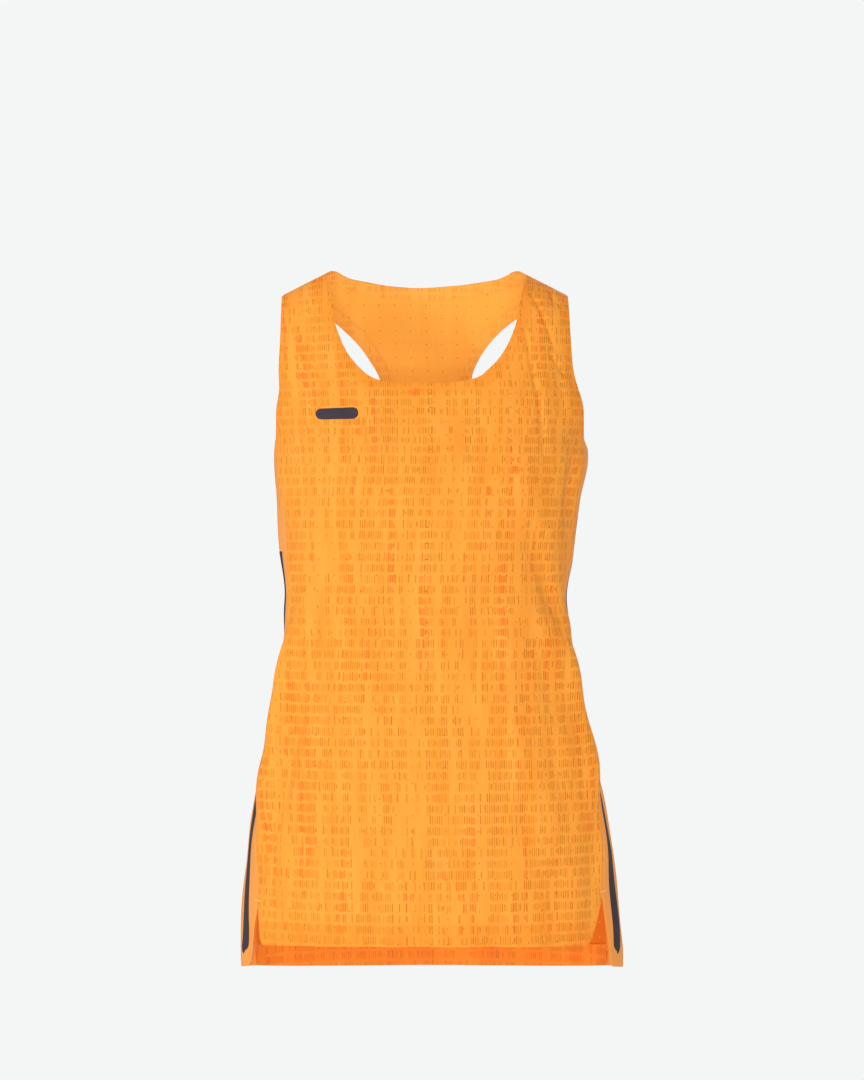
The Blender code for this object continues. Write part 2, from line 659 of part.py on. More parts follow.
def cloth(name, sheet, finish):
    """A named object from a panel's wall."""
    points, faces = sheet.wall()
    mesh = bpy.data.meshes.new(name)
    build = bmesh.new()
    corners = [build.verts.new(point) for point in points]
    for face in faces:
        build.faces.new([corners[i] for i in face])
    bmesh.ops.recalc_face_normals(build, faces=build.faces[:])
    build.to_mesh(mesh)
    build.free()
    mesh.materials.append(finish)
    made = bpy.data.objects.new(name, mesh)
    bpy.context.scene.collection.objects.link(made)
    return made


def material(name, colour, roughness):
    """A plain material: base colour, roughness, no metal."""
    made = bpy.data.materials.new(name)
    made.use_nodes = True
    shader = made.node_tree.nodes["Principled BSDF"]
    shader.inputs["Base Color"].default_value = (*colour, 1.0)
    shader.inputs["Roughness"].default_value = roughness
    shader.inputs["Metallic"].default_value = 0.0
    made.diffuse_color = (*colour, 1.0)
    return made


def main():
    """Clears the scene and builds the four panels."""
    for old in list(bpy.data.objects):
        bpy.data.objects.remove(old, do_unlink=True)
    cloth("front_panel", front_panel(), material("front_knit", FRONT_COLOUR, 0.8))
    cloth("back_panel", back_panel(), material("back_knit", BACK_COLOUR, 0.8))
    cloth("side_panel_left", side_panel(1), material("side_knit_left", SIDE_COLOUR, 0.8))
    cloth("side_panel_right", side_panel(-1), material("side_knit_right", SIDE_COLOUR, 0.8))


if __name__ == "__main__":
    main()
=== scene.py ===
import json

import bpy
import numpy as np
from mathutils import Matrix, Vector

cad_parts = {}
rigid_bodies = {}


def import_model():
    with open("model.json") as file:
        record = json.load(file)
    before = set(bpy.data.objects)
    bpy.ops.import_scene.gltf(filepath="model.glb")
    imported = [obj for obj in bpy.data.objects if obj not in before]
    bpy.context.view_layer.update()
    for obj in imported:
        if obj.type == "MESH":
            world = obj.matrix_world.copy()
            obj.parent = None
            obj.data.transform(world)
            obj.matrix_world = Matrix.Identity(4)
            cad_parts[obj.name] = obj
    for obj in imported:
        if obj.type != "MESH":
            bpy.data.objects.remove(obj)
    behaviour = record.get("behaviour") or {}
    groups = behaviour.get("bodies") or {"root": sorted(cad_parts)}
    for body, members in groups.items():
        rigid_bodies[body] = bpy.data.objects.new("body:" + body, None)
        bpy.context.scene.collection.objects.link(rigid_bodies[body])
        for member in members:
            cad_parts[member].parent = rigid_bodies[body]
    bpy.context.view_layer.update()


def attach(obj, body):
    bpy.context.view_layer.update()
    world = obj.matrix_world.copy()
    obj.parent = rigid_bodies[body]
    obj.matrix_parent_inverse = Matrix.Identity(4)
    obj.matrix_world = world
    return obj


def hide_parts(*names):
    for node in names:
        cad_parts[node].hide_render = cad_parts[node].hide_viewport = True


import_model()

bl_info = {
    "name": "Running Singlet",
    "version": (1, 0, 0),
    "blender": (4, 5, 0),
    "location": "3D View > Sidebar > Singlet",
    "description": "Cuts, punches and lays out the cloth of a racerback running singlet",
    "category": "Add Mesh",
}

# Units are metres: +X is the wearer's left, -Y the front and +Z up, and the origin lies
# midway between the undersides of the two shoulder straps.

# The solids' box, kept before anything is added
BODY = "root"
SIDES = ((1, "left"), (-1, "right"))

# The skin that the cloth is laid on.  A point of it has a level, which is its height on
# the body and runs on over the shoulder, and an across value, which is the distance along
# the level's ring from the centre line.  A ring is four quarter superellipses.  It tilts
# up with the shoulder, and its front leans out over the side by its lean.
RING_COLUMNS = ("level", "front_height", "back_height", "tilt", "half_width", "shift",
                "front_depth", "back_depth", "front_square", "back_square", "lean")
RINGS = (
    (-0.645, -0.645, -0.645, 0.00, 0.1743, 0.0034, 0.1250, 0.1125, 2.25, 2.20, 0.00),
    (-0.617, -0.617, -0.617, 0.00, 0.1757, 0.0034, 0.1258, 0.1128, 2.27, 2.20, 0.01),
    (-0.587, -0.587, -0.587, 0.00, 0.1742, 0.0028, 0.1265, 0.1130, 2.30, 2.20, 0.02),
    (-0.513, -0.513, -0.513, 0.00, 0.1645, 0.0016, 0.1285, 0.1110, 2.30, 2.20, 0.12),
    (-0.440, -0.440, -0.440, 0.00, 0.1480, 0.0003, 0.1285, 0.1030, 2.35, 2.25, 0.24),
    (-0.366, -0.366, -0.366, 0.00, 0.1292, -0.0012, 0.1270, 0.0880, 2.40, 2.30, 0.28),
    (-0.320, -0.320, -0.320, 0.00, 0.1268, -0.0004, 0.1264, 0.0810, 2.45, 2.30, 0.22),
    (-0.292, -0.292, -0.292, 0.00, 0.1272, -0.0019, 0.1268, 0.0800, 2.50, 2.30, 0.13),
    (-0.255, -0.255, -0.255, 0.00, 0.1338, -0.0012, 0.1280, 0.0850, 2.60, 2.30, 0.02),
    (-0.200, -0.200, -0.200, 0.00, 0.1394, 0.0004, 0.1255, 0.0950, 2.80, 2.35, 0.00),
    (-0.160, -0.160, -0.160, 0.00, 0.1438, 0.0026, 0.1135, 0.1000, 2.80, 2.40, 0.00),
    (-0.1435, -0.1435, -0.1435, 0.02, 0.1437, 0.0022, 0.1040, 0.0996, 2.75, 2.40, 0.00),
    (-0.110, -0.110, -0.110, 0.10, 0.1500, 0.0018, 0.0850, 0.0980, 2.70, 2.40, 0.00),
    (-0.075, -0.076, -0.0755, 0.35, 0.1500, -0.0015, 0.0670, 0.0870, 2.60, 2.40, 0.00),
    (-0.040, -0.044, -0.042, 0.65, 0.1500, -0.0023, 0.0530, 0.0660, 2.60, 2.40, 0.00),
    (-0.012, -0.0205, -0.0190, 0.85, 0.1500, -0.0026, 0.0410, 0.0450, 2.60, 2.40, 0.00),
    (0.010, -0.0066, -0.0061, 0.95, 0.1500, -0.0028, 0.0240, 0.0250, 2.60, 2.40, 0.00),
    (0.022, -0.0015, -0.0013, 1.00, 0.1500, -0.0028, 0.0125, 0.0125, 2.60, 2.40, 0.00),
    (0.030, 0.0001, 0.0001, 1.00, 0.1500, -0.0028, 0.0000, 0.0000, 2.60, 2.40, 0.00),
)
RIDGE_LEVEL = 0.030
STRAP_MIDDLE = 0.110
SHOULDER_SLOPE = 0.515
SHOULDER_ROUND = 0.020
QUARTER_STEPS = 64
SLOPE_STEP = 0.0005
SMALLEST_SPAN = 1e-9
BACK_LEAN = -0.5
LOWEST_NECK_LEVEL = -0.20
NECK_LEVEL_STEPS = 240

# Cut edges, each given on one half and the same on both
SEAM_GAP = 0.0003
FRONT_NECK_COLUMNS = ("half_x", "height")
FRONT_NECK = (
    (0.0000, -0.0963),
    (0.0418, -0.0917),
    (0.0595, -0.0800),
    (0.0712, -0.0659),
    (0.0811, -0.0432),
    (0.0866, -0.0181),
)
BACK_NECK_COLUMNS = ("half_x", "height")
BACK_NECK = (
    (0.0000, -0.0003),
    (0.0164, 0.0002),
    (0.0400, 0.0020),
    (0.0637, 0.0052),
    (0.0755, 0.0085),
)
NECK_AT_RIDGE = 0.0865
FRONT_ARMHOLE_COLUMNS = ("level", "half_x")
FRONT_ARMHOLE = (
    (-0.119, 0.1402),
    (-0.092, 0.1356),
    (-0.060, 0.1332),
    (-0.020, 0.1320),
)
BACK_ARMHOLE_COLUMNS = ("level", "half_x")
BACK_ARMHOLE = (
    (-0.129, 0.0500),
    (-0.108, 0.0420),
    (-0.093, 0.0432),
    (-0.073, 0.0537),
    (-0.041, 0.0815),
    (-0.015, 0.1065),
    (0.010, 0.1240),
)
BACK_UNDERARM_COLUMNS = ("half_x", "level")
BACK_UNDERARM = (
    (0.0500, -0.129),
    (0.0620, -0.141),
    (0.0850, -0.1475),
)
SHOULDER_NECK_END = (0.0925, 0.018)
SHOULDER_ARM_END = (0.1312, 0.027)
UNDERARM_LEVEL = -0.1435
SEAM_COLUMNS = ("level", "front", "back", "turn")
SEAMS = (
    (-0.645, 0.073, 0.045, 0.0000),
    (-0.567, 0.073, 0.045, 0.0000),
    (-0.500, 0.074, 0.045, 0.0000),
    (-0.440, 0.073, 0.045, 0.0010),
    (-0.350, 0.064, 0.045, 0.0050),
    (-0.265, 0.055, 0.045, 0.0090),
    (-0.225, 0.055, 0.045, 0.0085),
    (-0.190, 0.055, 0.043, 0.0030),
    (-0.147, 0.034, 0.040, 0.0000),
)
SIDE_DIP = 0.012

# The cloth hangs a little off the middle: the neck's round and the racerback lie towards
# the wearer's right, up to SWAY_REACH from the centre line
SWAY_COLUMNS = ("level", "front", "back")
SWAYS = (
    (-0.150, 0.0000, 0.0000),
    (-0.115, -0.0026, -0.0022),
    (-0.092, -0.0026, -0.0023),
    (-0.079, -0.0012, -0.0023),
    (-0.045, 0.0000, -0.0022),
    (-0.010, 0.0000, 0.0000),
)
SWAY_REACH = (0.075, 0.125)

# Hems and the two slits at the front seams
FRONT_HEM_CENTRE = -0.5965
FRONT_HEM_SIDE = -0.6005
SIDE_HEM_FRONT = -0.6222
SIDE_HEM_BACK = -0.6332
BACK_HEM_CENTRE = -0.6414
SIDE_HEM_CURVE = 1.2
SLIT_TOP = {-1: -0.567, 1: -0.559}
SLIT_FRONT_OPEN = {-1: 0.005, 1: 0.019}
SLIT_SIDE_OPEN = {-1: 0.0195, 1: 0.013}

# Grid sizes: columns count out from the centre line, rows count up from the hem
FRONT_HALF_COLUMNS = 68
FRONT_NECK_COLUMN = 26
FRONT_BODY_ROWS = 150
SLIT_ROW = 11
UNDERARM_ROW = 132
STRAP_ROWS = 84
NECK_CORNER_ACROSS = 0.065
SLIT_LEVEL = (SLIT_TOP[-1] + SLIT_TOP[1]) / 2
BACK_HALF_COLUMNS = 52
RACER_COLUMN = 25
BACK_NECK_COLUMN = 16
BACK_BODY_ROWS = 148
RACER_ROWS = 34
BACK_STRAP_ROWS = 30
UNDERARM_ROUNDS = 6
STRAP_FOOT_ACROSS = 0.066
STRAP_FOOT_LEVEL = -0.041
SIDE_COLUMNS = 34
SIDE_ROWS = 150

# Points along a cut edge
NECK_LINE_POINTS = 400
ARMHOLE_LINE_POINTS = 100

# The folds of the cloth.  A height below zero is a trough.
FOLD_COLUMNS = ("start_across", "start_level", "end_across", "end_level", "width", "height")
FRONT_FOLDS = (
    (-0.0765, -0.185, -0.0835, -0.405, 0.011, -0.0045),
    (-0.0790, -0.320, -0.1250, -0.485, 0.012, -0.0045),
    (-0.1050, -0.425, -0.1700, -0.560, 0.011, -0.0035),
    (-0.107, -0.275, -0.164, -0.490, 0.010, 0.0045),
    (-0.125, -0.280, -0.160, -0.500, 0.008, -0.0028),
    (0.098, -0.215, 0.122, -0.340, 0.010, -0.0040),
    (0.079, -0.295, 0.100, -0.400, 0.009, -0.0032),
    (0.108, -0.285, 0.158, -0.480, 0.011, 0.0052),
    (0.143, -0.122, 0.155, -0.264, 0.013, -0.0050),
    (-0.130, -0.155, -0.131, -0.255, 0.010, -0.0028),
    (-0.049, -0.500, -0.051, -0.690, 0.009, -0.0024),
    (0.053, -0.490, 0.053, -0.700, 0.009, -0.0024),
)
BACK_FOLDS = (
    (-0.030, -0.215, -0.120, -0.400, 0.014, -0.0030),
    (0.035, -0.205, 0.125, -0.410, 0.014, -0.0035),
    (0.000, -0.270, 0.006, -0.500, 0.016, -0.0025),
    (-0.065, -0.350, -0.095, -0.620, 0.014, 0.0030),
    (0.070, -0.330, 0.100, -0.600, 0.014, 0.0030),
)
SIDE_FOLD_COLUMNS = ("side", "distance", "start_level", "end_level", "width", "height")
SIDE_FOLDS = (
    (-1, 0.045, -0.250, -0.580, 0.016, -0.0055),
    (-1, 0.080, -0.250, -0.580, 0.013, 0.0040),
    (1, 0.045, -0.250, -0.520, 0.016, -0.0055),
    (1, 0.080, -0.250, -0.520, 0.013, 0.0040),
)

# The finer creases, in the folds' columns
FRONT_CREASES = (
    (0.0905, -0.046, 0.0955, -0.083, 0.0020, -0.0020),
    (0.0943, -0.072, 0.0980, -0.115, 0.0021, -0.0022),
    (0.0968, -0.100, 0.1045, -0.152, 0.0022, -0.0023),
    (0.1020, -0.138, 0.1055, -0.172, 0.0024, -0.0018),
    (0.1020, -0.050, 0.1080, -0.150, 0.0060, 0.0010),
    (0.0970, -0.006, 0.1110, -0.037, 0.0020, -0.0021),
    (0.1080, -0.028, 0.1180, -0.060, 0.0020, -0.0022),
    (0.1165, -0.050, 0.1138, -0.072, 0.0019, -0.0015),
    (0.1135, -0.064, 0.1290, -0.087, 0.0020, -0.0021),
    (0.1210, -0.078, 0.1240, -0.130, 0.0040, -0.0010),
    (0.1125, 0.018, 0.1200, -0.014, 0.0020, -0.0020),
    (0.1180, 0.004, 0.1270, -0.012, 0.0024, -0.0010),
    (0.1310, -0.125, 0.1360, -0.185, 0.0040, -0.0014),
    (-0.1210, 0.006, -0.1180, -0.040, 0.0032, -0.0011),
    (-0.1100, -0.020, -0.1160, -0.120, 0.0045, -0.0009),
    (-0.0165, -0.520, -0.0150, -0.690, 0.0060, -0.0017),
    (-0.0340, -0.500, -0.0330, -0.690, 0.0070, 0.0015),
    (0.0675, -0.500, 0.0690, -0.690, 0.0080, 0.0018),
    (0.0150, -0.540, 0.0190, -0.680, 0.0080, 0.0010),
    (0.1050, -0.470, 0.1150, -0.660, 0.0090, -0.0019),
    (-0.1050, -0.480, -0.1120, -0.670, 0.0090, -0.0008),
    (0.1450, -0.470, 0.1560, -0.640, 0.0080, -0.0018),
    (-0.0560, -0.330, -0.0860, -0.500, 0.0080, 0.0014),
    (0.0560, -0.330, 0.0700, -0.470, 0.0080, 0.0016),
    (0.0348, -0.290, 0.0315, -0.405, 0.0060, -0.0018),
    (0.0507, -0.285, 0.0433, -0.360, 0.0050, -0.0014),
    (0.0560, -0.395, 0.0590, -0.470, 0.0060, -0.0016),
    (0.0716, -0.450, 0.0760, -0.520, 0.0060, -0.0014),
    (-0.0392, -0.160, -0.0355, -0.250, 0.0060, -0.0014),
    (-0.0815, -0.225, -0.0870, -0.405, 0.0065, -0.0023),
    (-0.0880, -0.360, -0.1330, -0.505, 0.0065, -0.0025),
    (-0.1250, -0.460, -0.1680, -0.560, 0.0070, -0.0018),
    (0.0300, -0.240, 0.0560, -0.380, 0.0100, -0.0014),
    (0.0880, -0.370, 0.1160, -0.520, 0.0080, -0.0018),
    (-0.0900, -0.155, -0.1150, -0.235, 0.0090, -0.0012),
)
BACK_CREASES = (
    (-0.0080, -0.080, -0.0200, -0.220, 0.0060, -0.0008),
    (0.0140, -0.070, 0.0240, -0.230, 0.0070, -0.0009),
    (-0.0500, -0.150, -0.1150, -0.240, 0.0080, -0.0014),
    (0.0480, -0.150, 0.1180, -0.250, 0.0080, -0.0015),
    (-0.0900, -0.225, -0.1250, -0.330, 0.0080, 0.0012),
    (0.0880, -0.240, 0.1300, -0.330, 0.0080, 0.0012),
    (-0.0300, -0.300, 0.0400, -0.335, 0.0100, 0.0012),
    (-0.0500, -0.340, 0.0300, -0.365, 0.0080, -0.0010),
    (0.0280, -0.480, 0.0300, -0.710, 0.0090, -0.0014),
    (-0.0420, -0.470, -0.0450, -0.720, 0.0100, -0.0015),
    (-0.0050, -0.500, -0.0060, -0.710, 0.0080, 0.0010),
    (0.1150, -0.480, 0.1200, -0.700, 0.0090, -0.0013),
    (-0.1180, -0.460, -0.1240, -0.700, 0.0090, -0.0013),
    (0.0980, 0.030, 0.0900, -0.040, 0.0035, -0.0006),
    (-0.1020, 0.030, -0.0930, -0.050, 0.0035, -0.0006),
)
SIDE_CREASES = (
    (-1, 0.020, -0.165, -0.370, 0.009, -0.0016),
    (-1, -0.014, -0.290, -0.560, 0.008, -0.0016),
    (-1, -0.032, -0.200, -0.430, 0.010, 0.0016),
    (-1, 0.006, -0.440, -0.640, 0.008, -0.0014),
    (1, 0.024, -0.170, -0.340, 0.009, -0.0015),
    (1, -0.012, -0.300, -0.580, 0.008, -0.0016),
    (1, -0.034, -0.210, -0.440, 0.010, 0.0016),
    (1, 0.008, -0.430, -0.650, 0.008, -0.0014),
)

# Slow waves that keep the cloth from being perfectly smooth: their length across and
# down, their start and their height.  They die out near the sides and up the straps.
RIPPLE_COLUMNS = ("across", "down", "start", "height")
RIPPLES = (
    (0.061, 0.142, 0.3, 0.00050),
    (0.087, -0.103, 1.9, 0.00045),
    (0.047, 0.088, 4.1, 0.00030),
    (0.118, 0.067, 2.6, 0.00036),
    (0.036, -0.191, 5.2, 0.00026),
)
BACK_RIPPLE_START = 2.0
CALM_NEAR_SIDE = 0.030
CALM_ABOVE = -0.030
FULL_RIPPLES_BELOW = 0.080


def linear(code, alpha=None):
    """A linear colour from an sRGB hex code."""
    parts = [int(code[i:i + 2], 16) / 255 for i in (1, 3, 5)]
    made = [part / 12.92 if part <= 0.04045 else ((part + 0.055) / 1.055) ** 2.4 for part in parts]
    return tuple(made) if alpha is None else (*made, alpha)


def column(rows, columns, name):
    """One named column of a table."""
    return np.array([row[columns.index(name)] for row in rows], dtype=float)


def smooth(knots, values, at):
    """A curve through a table's values that never overshoots between two rows."""
    at = np.clip(at, knots[0], knots[-1])
    steps = np.diff(knots)
    rates = np.diff(values) / steps
    slopes = np.zeros_like(values)
    slopes[0] = rates[0]
    slopes[-1] = rates[-1]
    turning = rates[:-1] * rates[1:] <= 0
    total = np.where(turning, 1.0, rates[:-1] + rates[1:])
    slopes[1:-1] = np.where(turning, 0.0, 2 * rates[:-1] * rates[1:] / total)
    place = np.clip(np.searchsorted(knots, at, side="right") - 1, 0, len(steps) - 1)
    t = (at - knots[place]) / steps[place]
    rise = values[place + 1] - values[place]
    start = slopes[place] * steps[place]
    end = slopes[place + 1] * steps[place]
    square = 3 * rise - 2 * start - end
    cube = start + end - 2 * rise
    return values[place] + t * start + t ** 2 * square + t ** 3 * cube


def table_value(rows, columns, name, level):
    """A table's named value at a level."""
    return smooth(column(rows, columns, "level"), column(rows, columns, name), level)


def ring_value(name, level):
    """A ring's dimension at a level."""
    return table_value(RINGS, RING_COLUMNS, name, level)


def half_value(front, name, level):
    """A dimension of a ring's front or back half at a level."""
    return np.where(front, ring_value("front_" + name, level), ring_value("back_" + name, level))


def past_ridge(level):
    """Whether each level is past the ridge, and the level that it folds back to."""
    over = level > RIDGE_LEVEL
    return over, np.where(over, 2 * RIDGE_LEVEL - level, level)


def quarter_profile(front, level):
    """Angles, half widths, depths and running lengths of ring quarters from the centre line."""
    half = ring_value("half_width", level)[:, None]
    depth = half_value(front, "depth", level)[:, None]
    square = half_value(front, "square", level)[:, None]
    angle = np.linspace(0.0, np.pi / 2, QUARTER_STEPS + 1)[None, :]
    x = half * np.sin(angle) ** (2 / square)
    y = depth * np.clip(np.cos(angle), 0.0, 1.0) ** (2 / square)
    length = np.zeros_like(x)
    length[:, 1:] = np.cumsum(np.hypot(np.diff(x), np.diff(y)), axis=1)
    return angle[0], x, y, length


def quarter_length(front, level):
    """The distance along a ring from the centre line to the side point."""
    level = np.atleast_1d(np.asarray(level, dtype=float))
    return quarter_profile(np.full(level.shape, front), level)[3][:, -1]


def across_of(front, half_x, level):
    """The across value of the skin point at a half width on a level."""
    level = np.atleast_1d(np.asarray(level, dtype=float))
    half_x = np.broadcast_to(np.asarray(half_x, dtype=float), level.shape)
    _, x, _, length = quarter_profile(np.full(level.shape, front), level)
    return np.array([np.interp(half_x[i], x[i], length[i]) for i in range(len(level))])


def level_of(front, half_x, height):
    """The level at which the skin has a given height at a half width."""
    levels = np.linspace(LOWEST_NECK_LEVEL, RIDGE_LEVEL, NECK_LEVEL_STEPS + 1)
    heights = ring_height(np.full(levels.shape, front), np.full(levels.shape, half_x), levels)
    return float(np.interp(height, heights, levels))


def shoulder_rise(x):
    """How far the shoulder's slope lifts a place at a distance from the middle plane."""
    return SHOULDER_SLOPE * (STRAP_MIDDLE - np.sqrt(x ** 2 + SHOULDER_ROUND ** 2))


def ring_height(front, x, level):
    """The height of a tilted ring at a distance from the middle plane."""
    return half_value(front, "height", level) + ring_value("tilt", level) * shoulder_rise(x)


def bare_skin(front, across, level):
    """Skin points without folds; across runs on past the side, and level past the ridge."""
    over, level = past_ridge(level)
    front = np.where(over, ~front, front)
    side = np.where(across < 0, -1.0, 1.0)
    reach = np.abs(across)
    angle, _, _, length = quarter_profile(front, level)
    past = reach > length[:, -1]
    if past.any():
        other = quarter_profile(~front, level)[3]
        reach = np.where(past, other[:, -1] - (reach - length[:, -1]), reach)
        front = np.where(past, ~front, front)
        length = np.where(past[:, None], other, length)
    last = np.clip((length < reach[:, None]).sum(axis=1), 1, QUARTER_STEPS)
    row = np.arange(len(reach))
    span = np.maximum(length[row, last] - length[row, last - 1], SMALLEST_SPAN)
    part = (reach - length[row, last - 1]) / span
    turn = angle[last - 1] + part * (angle[last] - angle[last - 1])
    turn = np.clip(turn, 0.0, np.pi / 2)
    square = half_value(front, "square", level)
    half_x = ring_value("half_width", level) * np.sin(turn) ** (2 / square)
    inward = np.clip(np.cos(turn), 0.0, 1.0) ** (2 / square)
    lean = ring_value("lean", level) * np.where(front, inward, BACK_LEAN * inward)
    half_x = half_x * (1 + lean)
    return np.stack((ring_value("shift", level) + side * half_x,
                     np.where(front, -1.0, 1.0) * half_value(front, "depth", level) * inward,
                     ring_height(front, half_x, level)), axis=-1)


def outward(surface, front, across, level):
    """Unit vectors that point out of a surface."""
    along = surface(front, across + SLOPE_STEP, level) - surface(front, across - SLOPE_STEP, level)
    up = surface(front, across, level + SLOPE_STEP) - surface(front, across, level - SLOPE_STEP)
    out = np.cross(along, up) * np.where(front, 1.0, -1.0)[:, None]
    return out / np.linalg.norm(out, axis=1)[:, None]


def fold_height(front, across, level):
    """How far the folds, creases and ripples lift each skin point."""
    here = past_ridge(level)[1]
    length = quarter_profile(front, here)[3][:, -1]
    other = quarter_profile(~front, here)[3][:, -1]
    reach = np.abs(across)
    past = reach > length
    ahead = np.where(front, length - reach, reach - length)
    near = np.sign(across) * np.where(past, other - (reach - length), reach)
    on_front = np.where(past, ~front, front)
    total = np.zeros_like(across)
    for is_front, rows in ((True, FRONT_FOLDS + FRONT_CREASES), (False, BACK_FOLDS + BACK_CREASES)):
        for row in rows:
            fold = dict(zip(FOLD_COLUMNS, row))
            run_across = fold["end_across"] - fold["start_across"]
            run_level = fold["end_level"] - fold["start_level"]
            span = np.hypot(run_across, run_level)
            along = ((near - fold["start_across"]) * run_across
                     + (level - fold["start_level"]) * run_level) / span
            aside = ((near - fold["start_across"]) * run_level
                     - (level - fold["start_level"]) * run_across) / span
            taper = np.sin(np.pi * np.clip(along / span, 0.0, 1.0))
            bump = np.exp(-(aside / fold["width"]) ** 2) * taper
            total += np.where(on_front == is_front, fold["height"] * bump, 0.0)
    for row in SIDE_FOLDS + SIDE_CREASES:
        fold = dict(zip(SIDE_FOLD_COLUMNS, row))
        along = (level - fold["start_level"]) / (fold["end_level"] - fold["start_level"])
        taper = np.sin(np.pi * np.clip(along, 0.0, 1.0))
        bump = np.exp(-((ahead - fold["distance"]) / fold["width"]) ** 2) * taper
        total += np.where(np.sign(across) == fold["side"], fold["height"] * bump, 0.0)
    calm = np.clip(np.abs(ahead) / CALM_NEAR_SIDE, 0.0, 1.0)
    calm = calm * np.clip((CALM_ABOVE - level) / FULL_RIPPLES_BELOW, 0.0, 1.0)
    for row in RIPPLES:
        wave = dict(zip(RIPPLE_COLUMNS, row))
        turn = 2 * np.pi * (near / wave["across"] + level / wave["down"]) + wave["start"]
        total += wave["height"] * calm * np.sin(turn + np.where(on_front, 0.0, BACK_RIPPLE_START))
    return total


def skin(front, across, level):
    """Points on the outside of the cloth."""
    lift = fold_height(front, across, level)
    return bare_skin(front, across, level) + outward(bare_skin, front, across, level) * lift[:, None]


def smooth_line(points, count=200):
    """A dense smooth line through a few points (Catmull-Rom)."""
    points = np.array(points, dtype=float)
    ends = (2 * points[:1] - points[1:2], points, 2 * points[-1:] - points[-2:-1])
    guide = np.concatenate(ends)
    t = np.linspace(0, len(points) - 1, count)
    k = np.minimum(t.astype(int), len(points) - 2)
    f = (t - k)[:, None]
    a, b, c, d = guide[k], guide[k + 1], guide[k + 2], guide[k + 3]
    square = 2 * a - 5 * b + 4 * c - d
    cube = 3 * b - a - 3 * c + d
    return 0.5 * (2 * b + (c - a) * f + square * f ** 2 + cube * f ** 3)


def seam_distance(edge, level):
    """How far a seam lies from the side point."""
    return table_value(SEAMS, SEAM_COLUMNS, edge, level)


def seam_turn(level):
    """How far both front seams hang towards the wearer's left."""
    return table_value(SEAMS, SEAM_COLUMNS, "turn", level)


def sway(front, across, level):
    """How far each place lies off the middle, as the cloth hangs."""
    off = table_value(SWAYS, SWAY_COLUMNS, "front" if front else "back", level)
    return off * np.interp(np.abs(across), SWAY_REACH, (1.0, 0.0))


def front_hem(part):
    """The front hem's level, from its centre (0) out to its sides (-1 and 1)."""
    return FRONT_HEM_CENTRE + (FRONT_HEM_SIDE - FRONT_HEM_CENTRE) * part ** 2


def back_hem(part):
    """The back hem's level, from its centre (0) out to its sides (-1 and 1)."""
    return BACK_HEM_CENTRE + (SIDE_HEM_BACK - BACK_HEM_CENTRE) * np.abs(part) ** 3


def side_hem(part):
    """A side panel's hem level, which falls from the slit (0) to the back's hem (1)."""
    return SIDE_HEM_FRONT + (SIDE_HEM_BACK - SIDE_HEM_FRONT) * (1 - (1 - part) ** SIDE_HEM_CURVE)


def slit_share(side, level, hem):
    """How far down a slit a level lies: 0 at its top and 1 at the hem."""
    return np.clip((SLIT_TOP[side] - level) / (SLIT_TOP[side] - hem), 0.0, 1.0)


def seam_edge(front, level):
    """The across value of a front or back seam."""
    level = np.atleast_1d(np.asarray(level, dtype=float))
    edge = "front" if front else "back"
    return quarter_length(front, level) - seam_distance(edge, level) - SEAM_GAP / 2


def armhole_edge(front, level):
    """The across value of an armhole's edge between the underarm and the shoulder."""
    rows, names = (FRONT_ARMHOLE, FRONT_ARMHOLE_COLUMNS) if front else (BACK_ARMHOLE, BACK_ARMHOLE_COLUMNS)
    levels = list(column(rows, names, "level"))
    halves = list(column(rows, names, "half_x"))
    end_x, end_level = SHOULDER_ARM_END
    if front:
        seam = seam_edge(True, UNDERARM_LEVEL)
        start = bare_skin(np.array([True]), seam, np.array([UNDERARM_LEVEL]))[0][0]
        levels.insert(0, UNDERARM_LEVEL)
        halves.insert(0, start - float(ring_value("shift", np.array([UNDERARM_LEVEL]))[0]))
    levels.append(end_level if front else 2 * RIDGE_LEVEL - end_level)
    halves.append(end_x)
    half_x = smooth(np.array(levels), np.array(halves), level)
    over, here = past_ridge(level)
    return np.where(over, across_of(not front, half_x, here), across_of(front, half_x, here))


def front_neck_line():
    """The front neck's half edge as across values and levels, from the centre to the seam."""
    halves = column(FRONT_NECK, FRONT_NECK_COLUMNS, "half_x")
    heights = column(FRONT_NECK, FRONT_NECK_COLUMNS, "height")
    levels = np.array([level_of(True, x, z) for x, z in zip(halves, heights)])
    halves = np.append(halves, SHOULDER_NECK_END[0])
    levels = np.append(levels, SHOULDER_NECK_END[1])
    half = np.stack((across_of(True, halves, levels), levels), axis=-1)
    mirrored = half[1:2] * (-1, 1)
    line = smooth_line(np.concatenate((mirrored, half)), NECK_LINE_POINTS)
    return line[line[:, 0] >= 0]


def back_underarm_line():
    """The lower round of a back armhole, from the racerback out to the side seam."""
    halves = column(BACK_UNDERARM, BACK_UNDERARM_COLUMNS, "half_x")
    levels = column(BACK_UNDERARM, BACK_UNDERARM_COLUMNS, "level")
    across = across_of(False, halves, levels)
    across = np.append(across, seam_edge(False, UNDERARM_LEVEL)[0])
    levels = np.append(levels, UNDERARM_LEVEL)
    return smooth_line(np.stack((across, levels), axis=-1))


def back_skin_points(half_x, level):
    """Half widths and levels of the back, past the ridge too, as across values and levels."""
    over, here = past_ridge(level)
    across = np.where(over, across_of(True, half_x, here), across_of(False, half_x, here))
    return np.stack((across, level), axis=-1)


